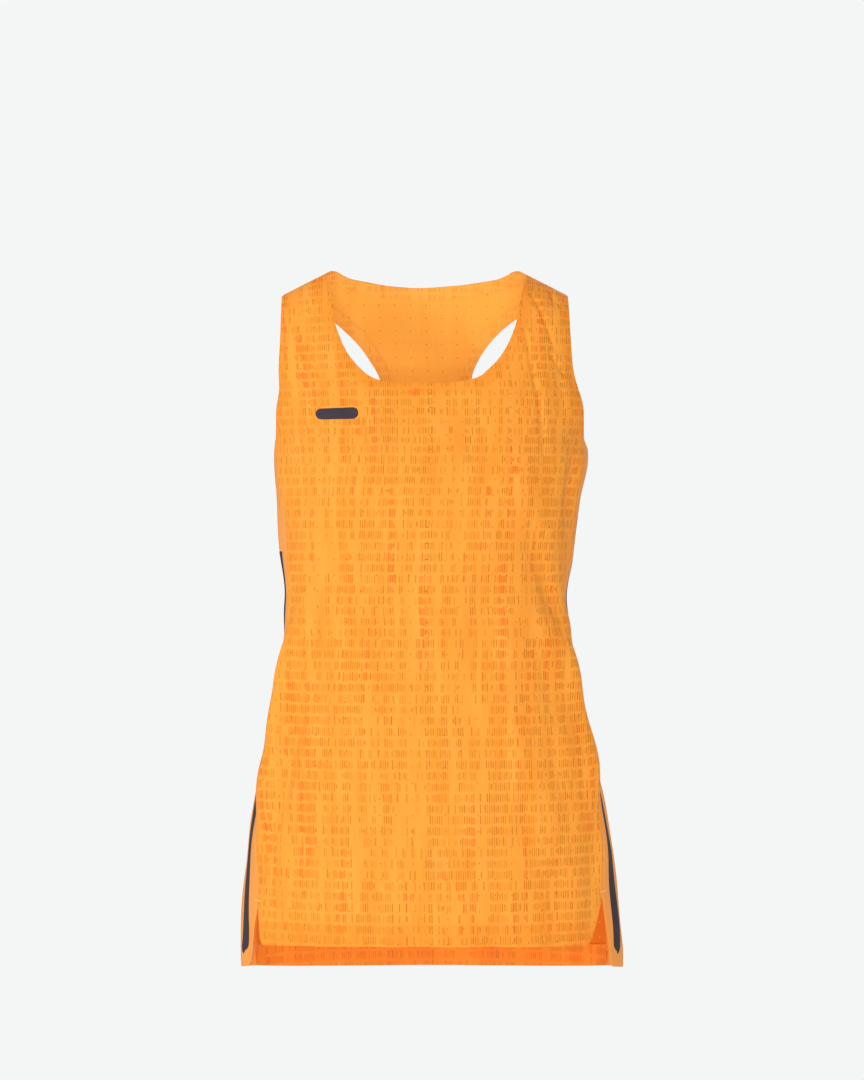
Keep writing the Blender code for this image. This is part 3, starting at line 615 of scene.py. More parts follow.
def back_neck_line():
    """The back neck's half edge, from the centre over the ridge to the shoulder seam."""
    halves = column(BACK_NECK, BACK_NECK_COLUMNS, "half_x")
    heights = column(BACK_NECK, BACK_NECK_COLUMNS, "height")
    levels = np.array([level_of(False, x, z) for x, z in zip(halves, heights)])
    knots = [(-halves[1], levels[1])] + list(zip(halves, levels))
    knots.append((NECK_AT_RIDGE, RIDGE_LEVEL))
    knots.append((SHOULDER_NECK_END[0], 2 * RIDGE_LEVEL - SHOULDER_NECK_END[1] - SEAM_GAP / 2))
    line = smooth_line(knots, NECK_LINE_POINTS)
    line = line[line[:, 0] >= 0]
    return back_skin_points(line[:, 0], line[:, 1])


def spaced(line, count):
    """Points at even steps along a line."""
    run = np.append(0.0, np.cumsum(np.hypot(*np.diff(line, axis=0).T)))
    at = np.linspace(0.0, run[-1], count + 1)
    return np.stack((np.interp(at, run, line[:, 0]), np.interp(at, run, line[:, 1])), axis=-1)


def patch(bottom, top, left, right):
    """Rows of a grid that fills four edges, without its first row (a Coons patch)."""
    u = np.linspace(0, 1, len(bottom))[:, None]
    rows = []
    for row in range(1, len(left)):
        v = row / (len(left) - 1)
        blend = (1 - v) * bottom + v * top + (1 - u) * left[row] + u * right[row]
        blend -= (1 - u) * ((1 - v) * bottom[0] + v * top[0]) + u * ((1 - v) * bottom[-1] + v * top[-1])
        rows.append(blend)
    return rows


class Pattern:
    """A flat pattern piece: a grid of across values and levels, with the faces between."""

    def __init__(self, front):
        self.front = front
        self.across = []
        self.level = []
        self.faces = []

    def add_points(self, across, level):
        """Adds places and returns their numbers."""
        first = len(self.across)
        self.across.extend(float(value) for value in across)
        self.level.extend(float(value) for value in level)
        return list(range(first, len(self.across)))

    def swayed(self):
        """The same piece as it hangs."""
        across = np.array(self.across)
        self.across = list(across + sway(self.front, across, np.array(self.level)))
        return self

    def add_block(self, across, level, base=None):
        """Adds a grid of rows; base is a row of numbers that it stands on."""
        rows = [] if base is None else [base]
        for across_row, level_row in zip(across, level):
            rows.append(self.add_points(across_row, level_row))
        for lower, upper in zip(rows, rows[1:]):
            for i in range(len(lower) - 1):
                self.faces.append((lower[i], lower[i + 1], upper[i + 1], upper[i]))
        return rows


def front_reach(number, level):
    """How far the front panel's edge lies from the centre line at each point's level."""
    seam = seam_edge(True, level)
    for side in (-1, 1):
        open_by = SLIT_FRONT_OPEN[side] * slit_share(side, level, FRONT_HEM_SIDE)
        seam = np.where(np.sign(number) == side, seam + side * seam_turn(level) - open_by, seam)
    return np.where(level <= UNDERARM_LEVEL, seam, armhole_edge(True, level))


def front_pattern():
    """The front: a body grid that ends on the neck's round, and a grid for each strap."""
    cut = Pattern(True)
    neck = front_neck_line()
    corner = int(np.argmin(np.abs(neck[:, 0] - NECK_CORNER_ACROSS)))
    corner_across, corner_level = neck[corner]
    split = corner_across / armhole_edge(True, np.array([corner_level]))[0]
    number = np.arange(-FRONT_HALF_COLUMNS, FRONT_HALF_COLUMNS + 1)
    knots = (0, FRONT_NECK_COLUMN, FRONT_HALF_COLUMNS)
    fraction = np.sign(number) * np.interp(np.abs(number), knots, (0.0, split, 1.0))
    hem = front_hem(fraction)
    top = np.interp(np.abs(fraction) * corner_across / split, neck[:corner + 1, 0], neck[:corner + 1, 1])
    across_rows = []
    level_rows = []
    for row in range(FRONT_BODY_ROWS + 1):
        stops = (0, SLIT_ROW, UNDERARM_ROW, FRONT_BODY_ROWS)
        level = np.array([np.interp(row, stops, (low, SLIT_LEVEL, UNDERARM_LEVEL, high))
                          for low, high in zip(hem, top)])
        across_rows.append(fraction * front_reach(number, level))
        level_rows.append(level)
    rows = cut.add_block(across_rows, level_rows)
    for side in (-1, 1):
        strap = [i for i in range(len(number)) if side * number[i] >= FRONT_NECK_COLUMN]
        base = [rows[-1][i] for i in strap]
        share = np.array([(abs(fraction[i]) - split) / (1 - split) for i in strap])
        top = SHOULDER_NECK_END[1] + (SHOULDER_ARM_END[1] - SHOULDER_NECK_END[1]) * share - SEAM_GAP / 2
        across_rows = []
        level_rows = []
        for row in range(1, STRAP_ROWS + 1):
            level = corner_level + (top - corner_level) * row / STRAP_ROWS
            inner = np.interp(level, neck[corner:, 1], neck[corner:, 0])
            outer = armhole_edge(True, level)
            across_rows.append(side * (inner + (outer - inner) * share))
            level_rows.append(level)
        cut.add_block(across_rows, level_rows, base)
    return cut


def back_pattern():
    """The back: a body grid up to the underarms, a racerback grid and one for each strap."""
    cut = Pattern(False)
    corner_x, corner_level = BACK_UNDERARM[0]
    corner_across = across_of(False, corner_x, corner_level)[0]
    split = corner_across / seam_edge(False, corner_level)[0]
    number = np.arange(-BACK_HALF_COLUMNS, BACK_HALF_COLUMNS + 1)
    knots = (0, RACER_COLUMN, BACK_HALF_COLUMNS)
    fraction = np.sign(number) * np.interp(np.abs(number), knots, (0.0, split, 1.0))
    underarm = back_underarm_line()
    top = np.full(len(number), corner_level)
    # The seam's reach and the underarm's height hang on each other, and soon settle
    for _ in range(UNDERARM_ROUNDS):
        top = np.interp(np.abs(fraction) * seam_edge(False, top), underarm[:, 0], underarm[:, 1])
    hem = back_hem(fraction)
    across_rows = []
    level_rows = []
    for row in range(BACK_BODY_ROWS + 1):
        level = hem + (top - hem) * row / BACK_BODY_ROWS
        across_rows.append(fraction * seam_edge(False, level))
        level_rows.append(level)
    rows = cut.add_block(across_rows, level_rows)
    middle = slice(BACK_HALF_COLUMNS - RACER_COLUMN, BACK_HALF_COLUMNS + RACER_COLUMN + 1)
    low = np.stack((across_rows[-1][middle], level_rows[-1][middle]), axis=-1)
    arm_levels = np.linspace(corner_level, STRAP_FOOT_LEVEL, ARMHOLE_LINE_POINTS)
    arm = spaced(np.stack((armhole_edge(False, arm_levels), arm_levels), axis=-1), RACER_ROWS)
    neck = back_neck_line()
    foot = int(np.argmin(np.abs(neck[:, 0] - STRAP_FOOT_ACROSS)))
    across_strap = RACER_COLUMN - BACK_NECK_COLUMN
    part = np.linspace(0, 1, across_strap + 1)[1:, None]
    strap_foot = neck[foot] + part * (arm[-1] - neck[foot])
    half_top = np.concatenate((spaced(neck[:foot + 1], BACK_NECK_COLUMN), strap_foot))
    high = np.concatenate((half_top[:0:-1] * (-1, 1), half_top))
    grid = patch(low, high, arm * (-1, 1), arm)
    racer = cut.add_block([row[:, 0] for row in grid], [row[:, 1] for row in grid], rows[-1][middle])
    seam_level = 2 * RIDGE_LEVEL - SHOULDER_ARM_END[1] - SEAM_GAP / 2
    arm_levels = np.linspace(STRAP_FOOT_LEVEL, seam_level, ARMHOLE_LINE_POINTS)
    outer = spaced(np.stack((armhole_edge(False, arm_levels), arm_levels), axis=-1), BACK_STRAP_ROWS)
    inner = spaced(neck[foot:], BACK_STRAP_ROWS)
    share = np.linspace(0, 1, across_strap + 1)[:, None]
    seam = inner[-1] + share * (outer[-1] - inner[-1])
    strap = patch(half_top[BACK_NECK_COLUMN:], seam, inner, outer)
    level = [row[:, 1] for row in strap]
    cut.add_block([row[:, 0] for row in strap], level, racer[-1][-across_strap - 1:])
    cut.add_block([-row[::-1, 0] for row in strap], [row[::-1] for row in level],
                  racer[-1][:across_strap + 1])
    return cut


def side_pattern(side):
    """A side: one grid from the front seam round to the back seam, under the armhole."""
    cut = Pattern(True)
    part = np.linspace(0, 1, SIDE_COLUMNS + 1)
    hem = side_hem(part)
    top = UNDERARM_LEVEL - SIDE_DIP * np.sin(np.pi * part)
    across_rows = []
    level_rows = []
    for row in range(SIDE_ROWS + 1):
        level = hem + (top - hem) * row / SIDE_ROWS
        ahead = seam_distance("front", level) - side * seam_turn(level) - SEAM_GAP / 2
        ahead -= SLIT_SIDE_OPEN[side] * slit_share(side, level, SIDE_HEM_FRONT)
        behind = seam_distance("back", level) - SEAM_GAP / 2
        across_rows.append(side * (quarter_length(True, level) - ahead + (ahead + behind) * part))
        level_rows.append(level)
    cut.add_block(across_rows, level_rows)
    return cut


# The flat cloth: distances along it are taken down the line RUN_ACROSS from the centre,
# and the knit's rows rise towards the neck by ROW_LIFT of the shoulder's own rise
RUN_ACROSS = 0.090
ROW_LIFT = 1.15
RUN_LEVELS = np.linspace(-0.660, 0.045, 500)


def cloth_run(front):
    """How far along the cloth each of RUN_LEVELS lies, from the underarm's level."""
    line = bare_skin(np.full(RUN_LEVELS.shape, front), np.full(RUN_LEVELS.shape, RUN_ACROSS), RUN_LEVELS)
    run = np.append(0.0, np.cumsum(np.linalg.norm(np.diff(line, axis=0), axis=1)))
    return run - np.interp(UNDERARM_LEVEL, RUN_LEVELS, run)


def flat_places(front, across, level):
    """Places on the flat cloth, in metres."""
    return np.stack((across, np.interp(level, RUN_LEVELS, cloth_run(front))), axis=-1)


def weave_places(front, across, level):
    """Places on the knit's own grid, whose stitches run straight down and level round the body."""
    over, here = past_ridge(level)
    on_front = over != front
    angle, x, y, length = quarter_profile(on_front, here)
    square = half_value(on_front, "square", here)
    inward = np.clip(np.cos(angle), 0.0, 1.0)[None, :] ** (2 / square)[:, None]
    lean = ring_value("lean", here) * np.where(on_front, 1.0, BACK_LEAN)
    x = x * (1 + lean[:, None] * inward)
    leaned = np.zeros_like(x)
    leaned[:, 1:] = np.cumsum(np.hypot(np.diff(x), np.diff(y)), axis=1)
    reach = np.abs(across)
    gain = np.array([np.interp(reach[i], length[i], leaned[i] - length[i]) for i in range(len(reach))])
    half_x = bare_skin(np.full(across.shape, front), across, level)[:, 0]
    lift = ROW_LIFT * ring_value("tilt", here) * shoulder_rise(half_x)
    run = np.interp(level, RUN_LEVELS, cloth_run(front))
    return np.stack((np.sign(across) * (reach + gain), run + np.where(over, -lift, lift)), axis=-1)


def select_nothing():
    """Deselects every object."""
    for other in bpy.context.view_layer.objects:
        other.select_set(False)


def only(piece):
    """Selects one object alone and makes it the active one."""
    select_nothing()
    piece.select_set(True)
    bpy.context.view_layer.objects.active = piece


def flat_piece(name, cut):
    """A pattern piece as a flat mesh, with across values along X and levels along Y."""
    mesh = bpy.data.meshes.new(name)
    mesh.from_pydata([(a, b, 0.0) for a, b in zip(cut.across, cut.level)], [], cut.faces)
    piece = bpy.data.objects.new(name, mesh)
    bpy.context.scene.collection.objects.link(piece)
    only(piece)
    return piece


def mesh_points(piece):
    """The piece's points as an array."""
    points = np.empty(len(piece.data.vertices) * 3)
    piece.data.vertices.foreach_get("co", points)
    return points.reshape(-1, 3)


def outline_points(piece):
    """The places of the points on the edge of a flat piece."""
    uses = np.zeros(len(piece.data.edges), dtype=int)
    edges = np.empty(len(piece.data.loops), dtype=np.int32)
    piece.data.loops.foreach_get("edge_index", edges)
    np.add.at(uses, edges, 1)
    ends = np.empty(len(piece.data.edges) * 2, dtype=np.int32)
    piece.data.edges.foreach_get("vertices", ends)
    rim = np.unique(ends.reshape(-1, 2)[uses == 1])
    return mesh_points(piece)[rim]


def round_corners(cut, corners, radius):
    """Rounds corners of a pattern piece: each is its place and its two inward directions."""
    across = np.array(cut.across)
    level = np.array(cut.level)
    for at_across, at_level, in_across, in_level in corners:
        off_across = across - (at_across + in_across * radius)
        off_level = level - (at_level + in_level * radius)
        reach = np.hypot(off_across, off_level)
        outside = (off_across * in_across < 0) & (off_level * in_level < 0) & (reach > radius)
        pull = np.where(outside, 1 - radius / np.maximum(reach, radius), 0.0)
        across -= off_across * pull
        level -= off_level * pull
    cut.across = list(across)
    cut.level = list(level)


def add_border(piece, width):
    """Adds a narrow row of faces along the edge of a flat piece."""
    only(piece)
    bpy.ops.object.mode_set(mode="EDIT")
    bpy.ops.mesh.select_all(action="SELECT")
    bpy.ops.mesh.inset(thickness=width, use_boundary=True, use_even_offset=True)
    bpy.ops.object.mode_set(mode="OBJECT")


def punch_eyelets(piece, front, sizes, margin):
    """Punches rows of round eyelets through a flat piece, up to the underarms."""
    points = mesh_points(piece)
    grid = weave_places(front, points[:, 0], points[:, 1])
    rim = outline_points(piece)
    rim = weave_places(front, rim[:, 0], rim[:, 1])
    steps = np.array((sizes.eyelet_across, sizes.eyelet_down))
    first = np.ceil(grid.min(axis=0) / steps).astype(int)
    last = np.floor(grid.max(axis=0) / steps).astype(int)
    chosen = []
    places = []
    for i in range(first[0], last[0] + 1):
        for j in range(first[1], last[1] + 1):
            place = np.array((i, j)) * steps
            near = np.linalg.norm(grid - place, axis=1)
            number = int(near.argmin())
            inside = near[number] < EYELET_SEARCH and np.linalg.norm(rim - place, axis=1).min() > margin
            if inside and points[number, 1] < EYELETS_CUT_BELOW:
                chosen.append(number)
                places.append(place)
    places = np.array(places)
    across, level = points[chosen, 0], points[chosen, 1]
    rate = np.gradient(RUN_LEVELS, cloth_run(front))
    # Each chosen point moves to its eyelet's place on the knit's grid
    for _ in range(EYELET_ROUNDS):
        here = weave_places(front, across, level)
        level = level + (places[:, 1] - here[:, 1]) * np.interp(level, RUN_LEVELS, rate)
        here = weave_places(front, across, level)
        beside = weave_places(front, across + PLACE_STEP, level)
        across = across + (places[:, 0] - here[:, 0]) * PLACE_STEP / (beside[:, 0] - here[:, 0])
    for number, at in zip(chosen, zip(across, level)):
        piece.data.vertices[number].co = (*at, 0.0)
    select_points(piece, chosen)
    bpy.ops.object.mode_set(mode="EDIT")
    bpy.ops.mesh.bevel(offset=sizes.eyelet_diameter / 2, offset_type="OFFSET", segments=2,
                       profile=EYELET_PROFILE, affect="VERTICES")
    bpy.ops.mesh.delete(type="FACE")
    bpy.ops.object.mode_set(mode="OBJECT")


def select_points(piece, numbers):
    """Selects some of a piece's points and nothing else, in point mode."""
    only(piece)
    bpy.ops.object.mode_set(mode="EDIT")
    bpy.ops.mesh.select_mode(type="VERT")
    bpy.ops.mesh.select_all(action="DESELECT")
    bpy.ops.object.mode_set(mode="OBJECT")
    picked = np.zeros(len(piece.data.vertices), dtype=bool)
    picked[numbers] = True
    piece.data.vertices.foreach_set("select", picked)


def mark_doubled(piece, front, lines):
    """Marks where a flat piece has a second layer behind it: beside its turned edges."""
    points = mesh_points(piece)
    flat = flat_places(front, points[:, 0], points[:, 1])
    share = np.zeros(len(flat))
    for line, _, width, _ in lines:
        hung = hung_line(front, line)
        edge = flat_places(front, hung[:, 0], hung[:, 1])
        for start in range(0, len(flat), POINTS_AT_ONCE):
            part = slice(start, start + POINTS_AT_ONCE)
            reach = np.linalg.norm(flat[part, None, :] - edge[None, :, :], axis=2).min(axis=1)
            layered = np.clip((width - reach) / DOUBLED_FADE + 0.5, 0.0, 1.0)
            share[part] = np.maximum(share[part], layered)
    layer = piece.data.attributes.new(DOUBLED, "FLOAT", "POINT")
    layer.data.foreach_set("value", share)


def lay_on_body(piece, front, depth, rim=None):
    """Lays a flat piece on the body, some way under the cloth's outside, and keeps its flat
    places as its UV map.  Points of the rim are pressed in, as at a seam or a folded edge."""
    points = mesh_points(piece)
    across, level = points[:, 0].copy(), points[:, 1].copy()
    is_front = np.full(across.shape, front)
    places = weave_places(front, across, level)
    layer = piece.data.uv_layers.new(name=CLOTH_MAP)
    corners = np.empty(len(piece.data.loops), dtype=np.int32)
    piece.data.loops.foreach_get("vertex_index", corners)
    layer.data.foreach_set("uv", places[corners].ravel())
    under = np.full(across.shape, depth)
    if rim is not None:
        key = {(round(a, 6), round(b, 6)) for a, b, _ in rim}
        pressed = np.array([(round(a, 6), round(b, 6)) in key for a, b in zip(across, level)])
        under = under + np.where(pressed, EDGE_PRESS, 0.0)
    out = outward(skin, is_front, across, level)
    laid = skin(is_front, across, level) - out * under[:, None]
    piece.data.vertices.foreach_set("co", laid.ravel())
    piece.data.update()
    face = piece.data.polygons[len(piece.data.polygons) // 2]
    if np.dot(np.array(face.normal), out[face.vertices[0]]) < 0:
        only(piece)
        bpy.ops.object.mode_set(mode="EDIT")
        bpy.ops.mesh.select_all(action="SELECT")
        bpy.ops.mesh.flip_normals()
        bpy.ops.object.mode_set(mode="OBJECT")


def give_wall(piece, thickness, materials, inner=0):
    """Gives a laid piece its thickness, inwards; inner is the place of the inside's material."""
    for finish in materials:
        piece.data.materials.append(finish)
    only(piece)
    wall = piece.modifiers.new("wall", "SOLIDIFY")
    wall.thickness = thickness
    wall.offset = -1.0
    wall.material_offset = inner
    bpy.ops.object.modifier_apply(modifier=wall.name)
    bpy.ops.object.shade_smooth_by_angle(angle=SMOOTH_ANGLE)


def join(name, pieces):
    """Joins pieces into one object."""
    only(pieces[0])
    for piece in pieces[1:]:
        piece.select_set(True)
    bpy.ops.object.join()
    pieces[0].name = name
    pieces[0].data.name = name
    return pieces[0]


def cut_size(cut):
    """The width, length and area of a pattern piece on the flat cloth."""
    flat = flat_places(cut.front, np.array(cut.across), np.array(cut.level))
    corners = flat[np.array(cut.faces)]
    before = np.roll(corners, 1, axis=1)
    doubled = np.sum(before[..., 0] * corners[..., 1] - corners[..., 0] * before[..., 1], axis=1)
    width, length = flat.max(axis=0) - flat.min(axis=0)
    return float(width), float(length), float(0.5 * np.abs(doubled).sum())


def strip_pattern(front, line, width, side, start, rows=4):
    """A strip beside a line of across values and levels, on its left (side 1) or right (-1)."""
    run = cloth_run(front)
    flat = flat_places(front, line[:, 0], line[:, 1])
    along = np.gradient(flat, axis=0)
    along /= np.linalg.norm(along, axis=1)[:, None]
    aside = side * np.stack((-along[:, 1], along[:, 0]), axis=-1)
    cut = Pattern(front)
    across_rows = []
    level_rows = []
    for row in range(rows + 1):
        place = flat + aside * (start + (width - start) * row / rows)
        across_rows.append(place[:, 0])
        level_rows.append(np.interp(place[:, 1], run, RUN_LEVELS))
    cut.add_block(across_rows, level_rows)
    return cut


def hung_line(front, line):
    """A line of across values and levels as it hangs."""
    return np.stack((line[:, 0] + sway(front, line[:, 0], line[:, 1]), line[:, 1]), axis=-1)


def mirrored_line(half):
    """A whole line from its half, from the right side to the left one."""
    return np.concatenate((half[:0:-1] * (-1, 1), half))


def front_armhole_line(side):
    """A front armhole's edge, from the side seam up to the shoulder seam."""
    levels = np.linspace(UNDERARM_LEVEL, SHOULDER_ARM_END[1] - SEAM_GAP, ARMHOLE_POINTS)
    return np.stack((side * armhole_edge(True, levels), levels), axis=-1)


def back_armhole_line(side):
    """A back armhole's edge, from the side seam round the racerback to the shoulder seam."""
    under = spaced(back_underarm_line()[::-1], UNDERARM_POINTS)
    top = 2 * RIDGE_LEVEL - SHOULDER_ARM_END[1] - SEAM_GAP
    levels = np.linspace(BACK_UNDERARM[0][1], top, ARMHOLE_POINTS)
    arm = np.stack((armhole_edge(False, levels), levels), axis=-1)
    return np.concatenate((under[:-1], arm)) * (side, 1)


def front_hem_line():
    """The front hem between its two rounded corners."""
    part = np.linspace(-1, 1, HEM_POINTS) * FRONT_HEM_SHARE
    level = front_hem(part)
    return np.stack((part * front_reach(np.sign(part), level), level), axis=-1)


def back_hem_line():
    """The back hem from seam to seam."""
    part = np.linspace(-1, 1, HEM_POINTS) * BACK_HEM_SHARE
    level = back_hem(part)
    return np.stack((part * seam_edge(False, level), level), axis=-1)


def side_line(side, top):
    """A side panel's upper or lower edge, from the front seam to the back one."""
    part = np.linspace(SIDE_TOP_START if top else SIDE_HEM_START, SIDE_LINE_END, SIDE_LINE_POINTS)
    if top:
        level = UNDERARM_LEVEL - SIDE_DIP * np.sin(np.pi * part)
    else:
        level = side_hem(part)
    ahead = seam_distance("front", level) - SLIT_SIDE_OPEN[side] * slit_share(side, level, SIDE_HEM_FRONT)
    behind = seam_distance("back", level)
    across = quarter_length(True, level) - ahead + (ahead + behind) * part
    return np.stack((side * across, level), axis=-1)


# Names of the cloth's UV map and of its attribute
CLOTH_MAP = "cloth"
DOUBLED = "doubled"

# How the cloth is cut and laid.  EYELET_PROFILE is the bevel's profile that makes a round.
CORNER_RADIUS = 0.0050
BORDER_WIDTH = 0.0010
EYELET_PROFILE = 0.086
EYELET_MARGIN = 0.0075
EYELET_SEARCH = 0.0036
EYELET_ROUNDS = 3
# Above this level the eyelets are not punched: the knits' finishes paint them as dark dots of shade
EYELETS_CUT_BELOW = -0.150
PLACE_STEP = 0.0001
POINTS_AT_ONCE = 2000
DOUBLED_FADE = 0.001
EDGE_PRESS = 0.00030
SMOOTH_ANGLE = np.radians(40)

# The edges that are turned in: points along them, and where they start and end as shares
# of the whole edge, clear of the rounded corners and seams
EDGE_STEP = 0.0003
NECK_POINTS = 70
ARMHOLE_POINTS = 60
UNDERARM_POINTS = 24
HEM_POINTS = 110
FRONT_HEM_SHARE = 0.97
BACK_HEM_SHARE = 0.998
SIDE_LINE_POINTS = 40
SIDE_TOP_START = 0.02
SIDE_HEM_START = 0.08
SIDE_LINE_END = 0.995
TURNED_DEPTH = 0.00055
TURNED_THICKNESS = 0.00040

# Tapes and film
TAPE_DEPTH = 0.00056
TAPE_THICKNESS = 0.00025
TAPE_WIDTH = 0.008
TAPE_POINTS = 120
TAPE_BELOW_UNDERARM = 0.012
TAPE_END_LEVEL = -0.620
TAPE_ABOVE_SLIT = 0.002
SHOULDER_TAPE_POINTS = 24
FILM_LIFT = 0.00018
FILM_THICKNESS = 0.00015

# The side bands' edges, as distances in front of the side point
BAND_COLUMNS = ("level", "left_front", "left_back", "right_front", "right_back")
BANDS = (
    (-0.645, 0.0525, 0.0370, 0.0475, 0.0320),
    (-0.567, 0.0585, 0.0415, 0.0530, 0.0360),
    (-0.500, 0.0640, 0.0460, 0.0500, 0.0320),
    (-0.440, 0.0600, 0.0420, 0.0440, 0.0260),
    (-0.360, 0.0480, 0.0300, 0.0430, 0.0250),
    (-0.282, 0.0350, 0.0170, 0.0480, 0.0300),
    (-0.205, 0.0300, 0.0120, 0.0540, 0.0360),
)
BAND_TOPS = {-1: -0.247, 1: -0.215}

# Their lower ends, whose corners are rounded in a few rows that turn through some angles.
# They follow the part of the hem between two shares of it.
BAND_END_ABOVE_HEM = 0.0155
BAND_END_ROUND = 0.007
BAND_END_TURN = (0.15, np.pi / 2)
BAND_END_ROWS = 8
BAND_ROWS = 110
BAND_STEPS = 12
BAND_ON_HEM = (0.15, 0.45)

# The chest tab's centre, as an across value and a level, and the bar tacks
TAB_CENTRE = (-0.0845, -0.1240)
TACK_ABOVE_SLIT = 0.006
TACK_SIZE = (0.010, 0.0015)
TACK_LIFT = 0.0004
TACK_THICKNESS = 0.0005
# The grid of a bar with round ends, whose end columns stop just short of a point
BAR_STEPS = 40
BAR_ROWS = 8
BAR_END = 0.999
BAR_END_WIDTH = 0.00001

# The knits' colours.  The dark eyelet colour of the face and the reverse is painted shade: the shaded
# inside seen through an eyelet.
FACE_COLOURS = {"ground": "#FDA33D", "ground_deep": "#FA9A35", "fill": "#F68029",
                "rib": "#CE7B18", "rib_warm": "#DE6A1A", "eyelet": "#9A5814"}
# The reverse is plainer, and paler partly in its own colour and partly with painted light that brightens
# the inside
REVERSE_OWN_AND_PAINTED_LIGHT_COLOURS = {"ground": "#FFBB4F", "ground_deep": "#FFB548", "fill": "#FFB649",
                   "rib": "#FDB246", "rib_warm": "#FCAE43", "eyelet": "#9A5814"}
# The turned-in face: the face knit, made paler with painted light where it shows inside
TURNED_PAINTED_LIGHT_COLOURS = {"ground": "#FFBC54", "ground_deep": "#FFB84E", "fill": "#FDA842",
                  "rib": "#EE9C38", "rib_warm": "#F09036", "eyelet": "#FFBA50"}
# The hem's face knit, made deeper with painted shade where it lies inside
HEM_PAINTED_SHADE_COLOURS = {"ground": "#F88F2F", "ground_deep": "#F6882B", "fill": "#F07725",
               "rib": "#D4701E", "rib_warm": "#DC621C", "eyelet": "#F68A2E"}
# Painted shade: the reverse deepens between these two distances below the underarm, where less light gets
# in
REVERSE_PAINTED_SHADE_SPAN = (-0.28, -0.43)
REVERSE_PAINTED_SHADE_COLOUR = "#EC7A1C"
# Painted shade along the turned edges: how much it darkens the ground where a second layer lies behind the
# cloth
TURNED_EDGE_PAINTED_SHADE = "#FFF4E8"

# The knit-in dashes.  For each noise: its change for each rib and for each row, its start,
# and its detail
DASH_NOISES = (
    (0.270, 0.045, 4.7, 1.0),
    (0.470, 0.210, 0.0, 1.5),
    (0.340, 0.070, 9.3, 1.0),
)
NOISE_ROUGHNESS = 0.6
# The starts of the two random values that each rib has in each row
CHANCE_STARTS = (0.5, 7.5)
# How much the columns, the clusters and a dash's own chance count, and the range of their
# sum in which dashes grow from nothing to full strength
COLUMN_SHARE = 0.80
CLUSTER_SHARE = 0.55
OWN_SHARE = 0.14
DASH_RANGE = (0.698, 0.728)
GROWTH_POWER = 0.25
# Shares of a row: half the height of a dash, its middle and its soft end
HALF_DASH = (0.33, 0.46)
DASH_MIDDLE = (0.45, 0.55)
DASH_END = 0.08
# A rib fades out between two shares of its pitch, and its strength varies
RIB_FADE = (0.12, 0.34)
RIB_STRENGTH = (0.30, 1.0)
# Where the tone turns warm, and the fill between a dash's ribs where it is plain and warm
WARM_RANGE = (0.580, 0.655)
PLAIN_FILL = 0.12
WARM_FILL = 0.58
# An eyelet's dark rim fades out between two shares of its radius
EYELET_FADE = (0.7, 1.2)
# The ground's slow change of shade: its size across, and that it is longer down the cloth
DRIFT_SIZE = 0.01613
DRIFT_STRETCH = (1.0, 0.22, 1.0)
DRIFT_RANGE = (0.35, 0.65)
# A rib's height over that of a stitch
RIB_HEIGHT = 1.4

# A wave texture of scale 1 repeats after this length
WAVE_LENGTH = np.pi / 10
# The fine jersey's stitches: their width and their height
STITCH_SIZES = (("X", 0.000748), ("Y", 0.0008267))
STITCH_WOBBLE = 1.2
CLOTH_BUMP = 0.35
CLOTH_BUMP_DISTANCE = 0.00012
CLOTH_SPECULAR = 0.11
CLOTH_SHEEN = 0.03
CLOTH_SHEEN_ROUGHNESS = 0.45

# The plainer finishes: their two shades, the sizes of their patterns, and their gloss
PLAIN_COLOURS = ("#F8A251", "#F49A48")
PLAIN_DRIFT_SIZE = 0.03333
TAPE_COLOURS = ("#F59B3E", "#EE9236")
TAPE_DRIFT_SIZE = 0.0125
FILM_CLOUD_COLOUR = "#3A3239"
FILM_CLOUD_SIZE = 0.01667
FILM_CLOUD_RANGE = (0.3, 0.7)
FILM_ROUGHNESS = (0.62, 0.72)
FILM_SPECULAR = 0.15
FILM_BUMP = 0.15
FILM_BUMP_DISTANCE = 0.0001
THREAD_COLOURS = ("#FFC16E", "#FBAE52")
THREAD_STITCH_SIZE = 0.001208
THREAD_WOBBLE = 0.4
THREAD_ROUGHNESS = 0.5
THREAD_BUMP = 0.5
THREAD_BUMP_DISTANCE = 0.0003


def add_node(tree, kind, inputs=(), **settings):
    """Adds a node with its settings, and sets or links its inputs by number or name."""
    node = tree.nodes.new(kind)
    for setting, value in settings.items():
        setattr(node, setting, value)
    for socket, value in (inputs.items() if isinstance(inputs, dict) else enumerate(inputs)):
        if isinstance(value, bpy.types.NodeSocket):
            tree.links.new(value, node.inputs[socket])
        elif value is not None:
            node.inputs[socket].default_value = value
    return node


def new_material(name):
    """An empty material with a principled surface; returns it, its tree and its shader."""
    made = bpy.data.materials.new(name)
    made.use_nodes = True
    tree = made.node_tree
    return made, tree, tree.nodes["Principled BSDF"]


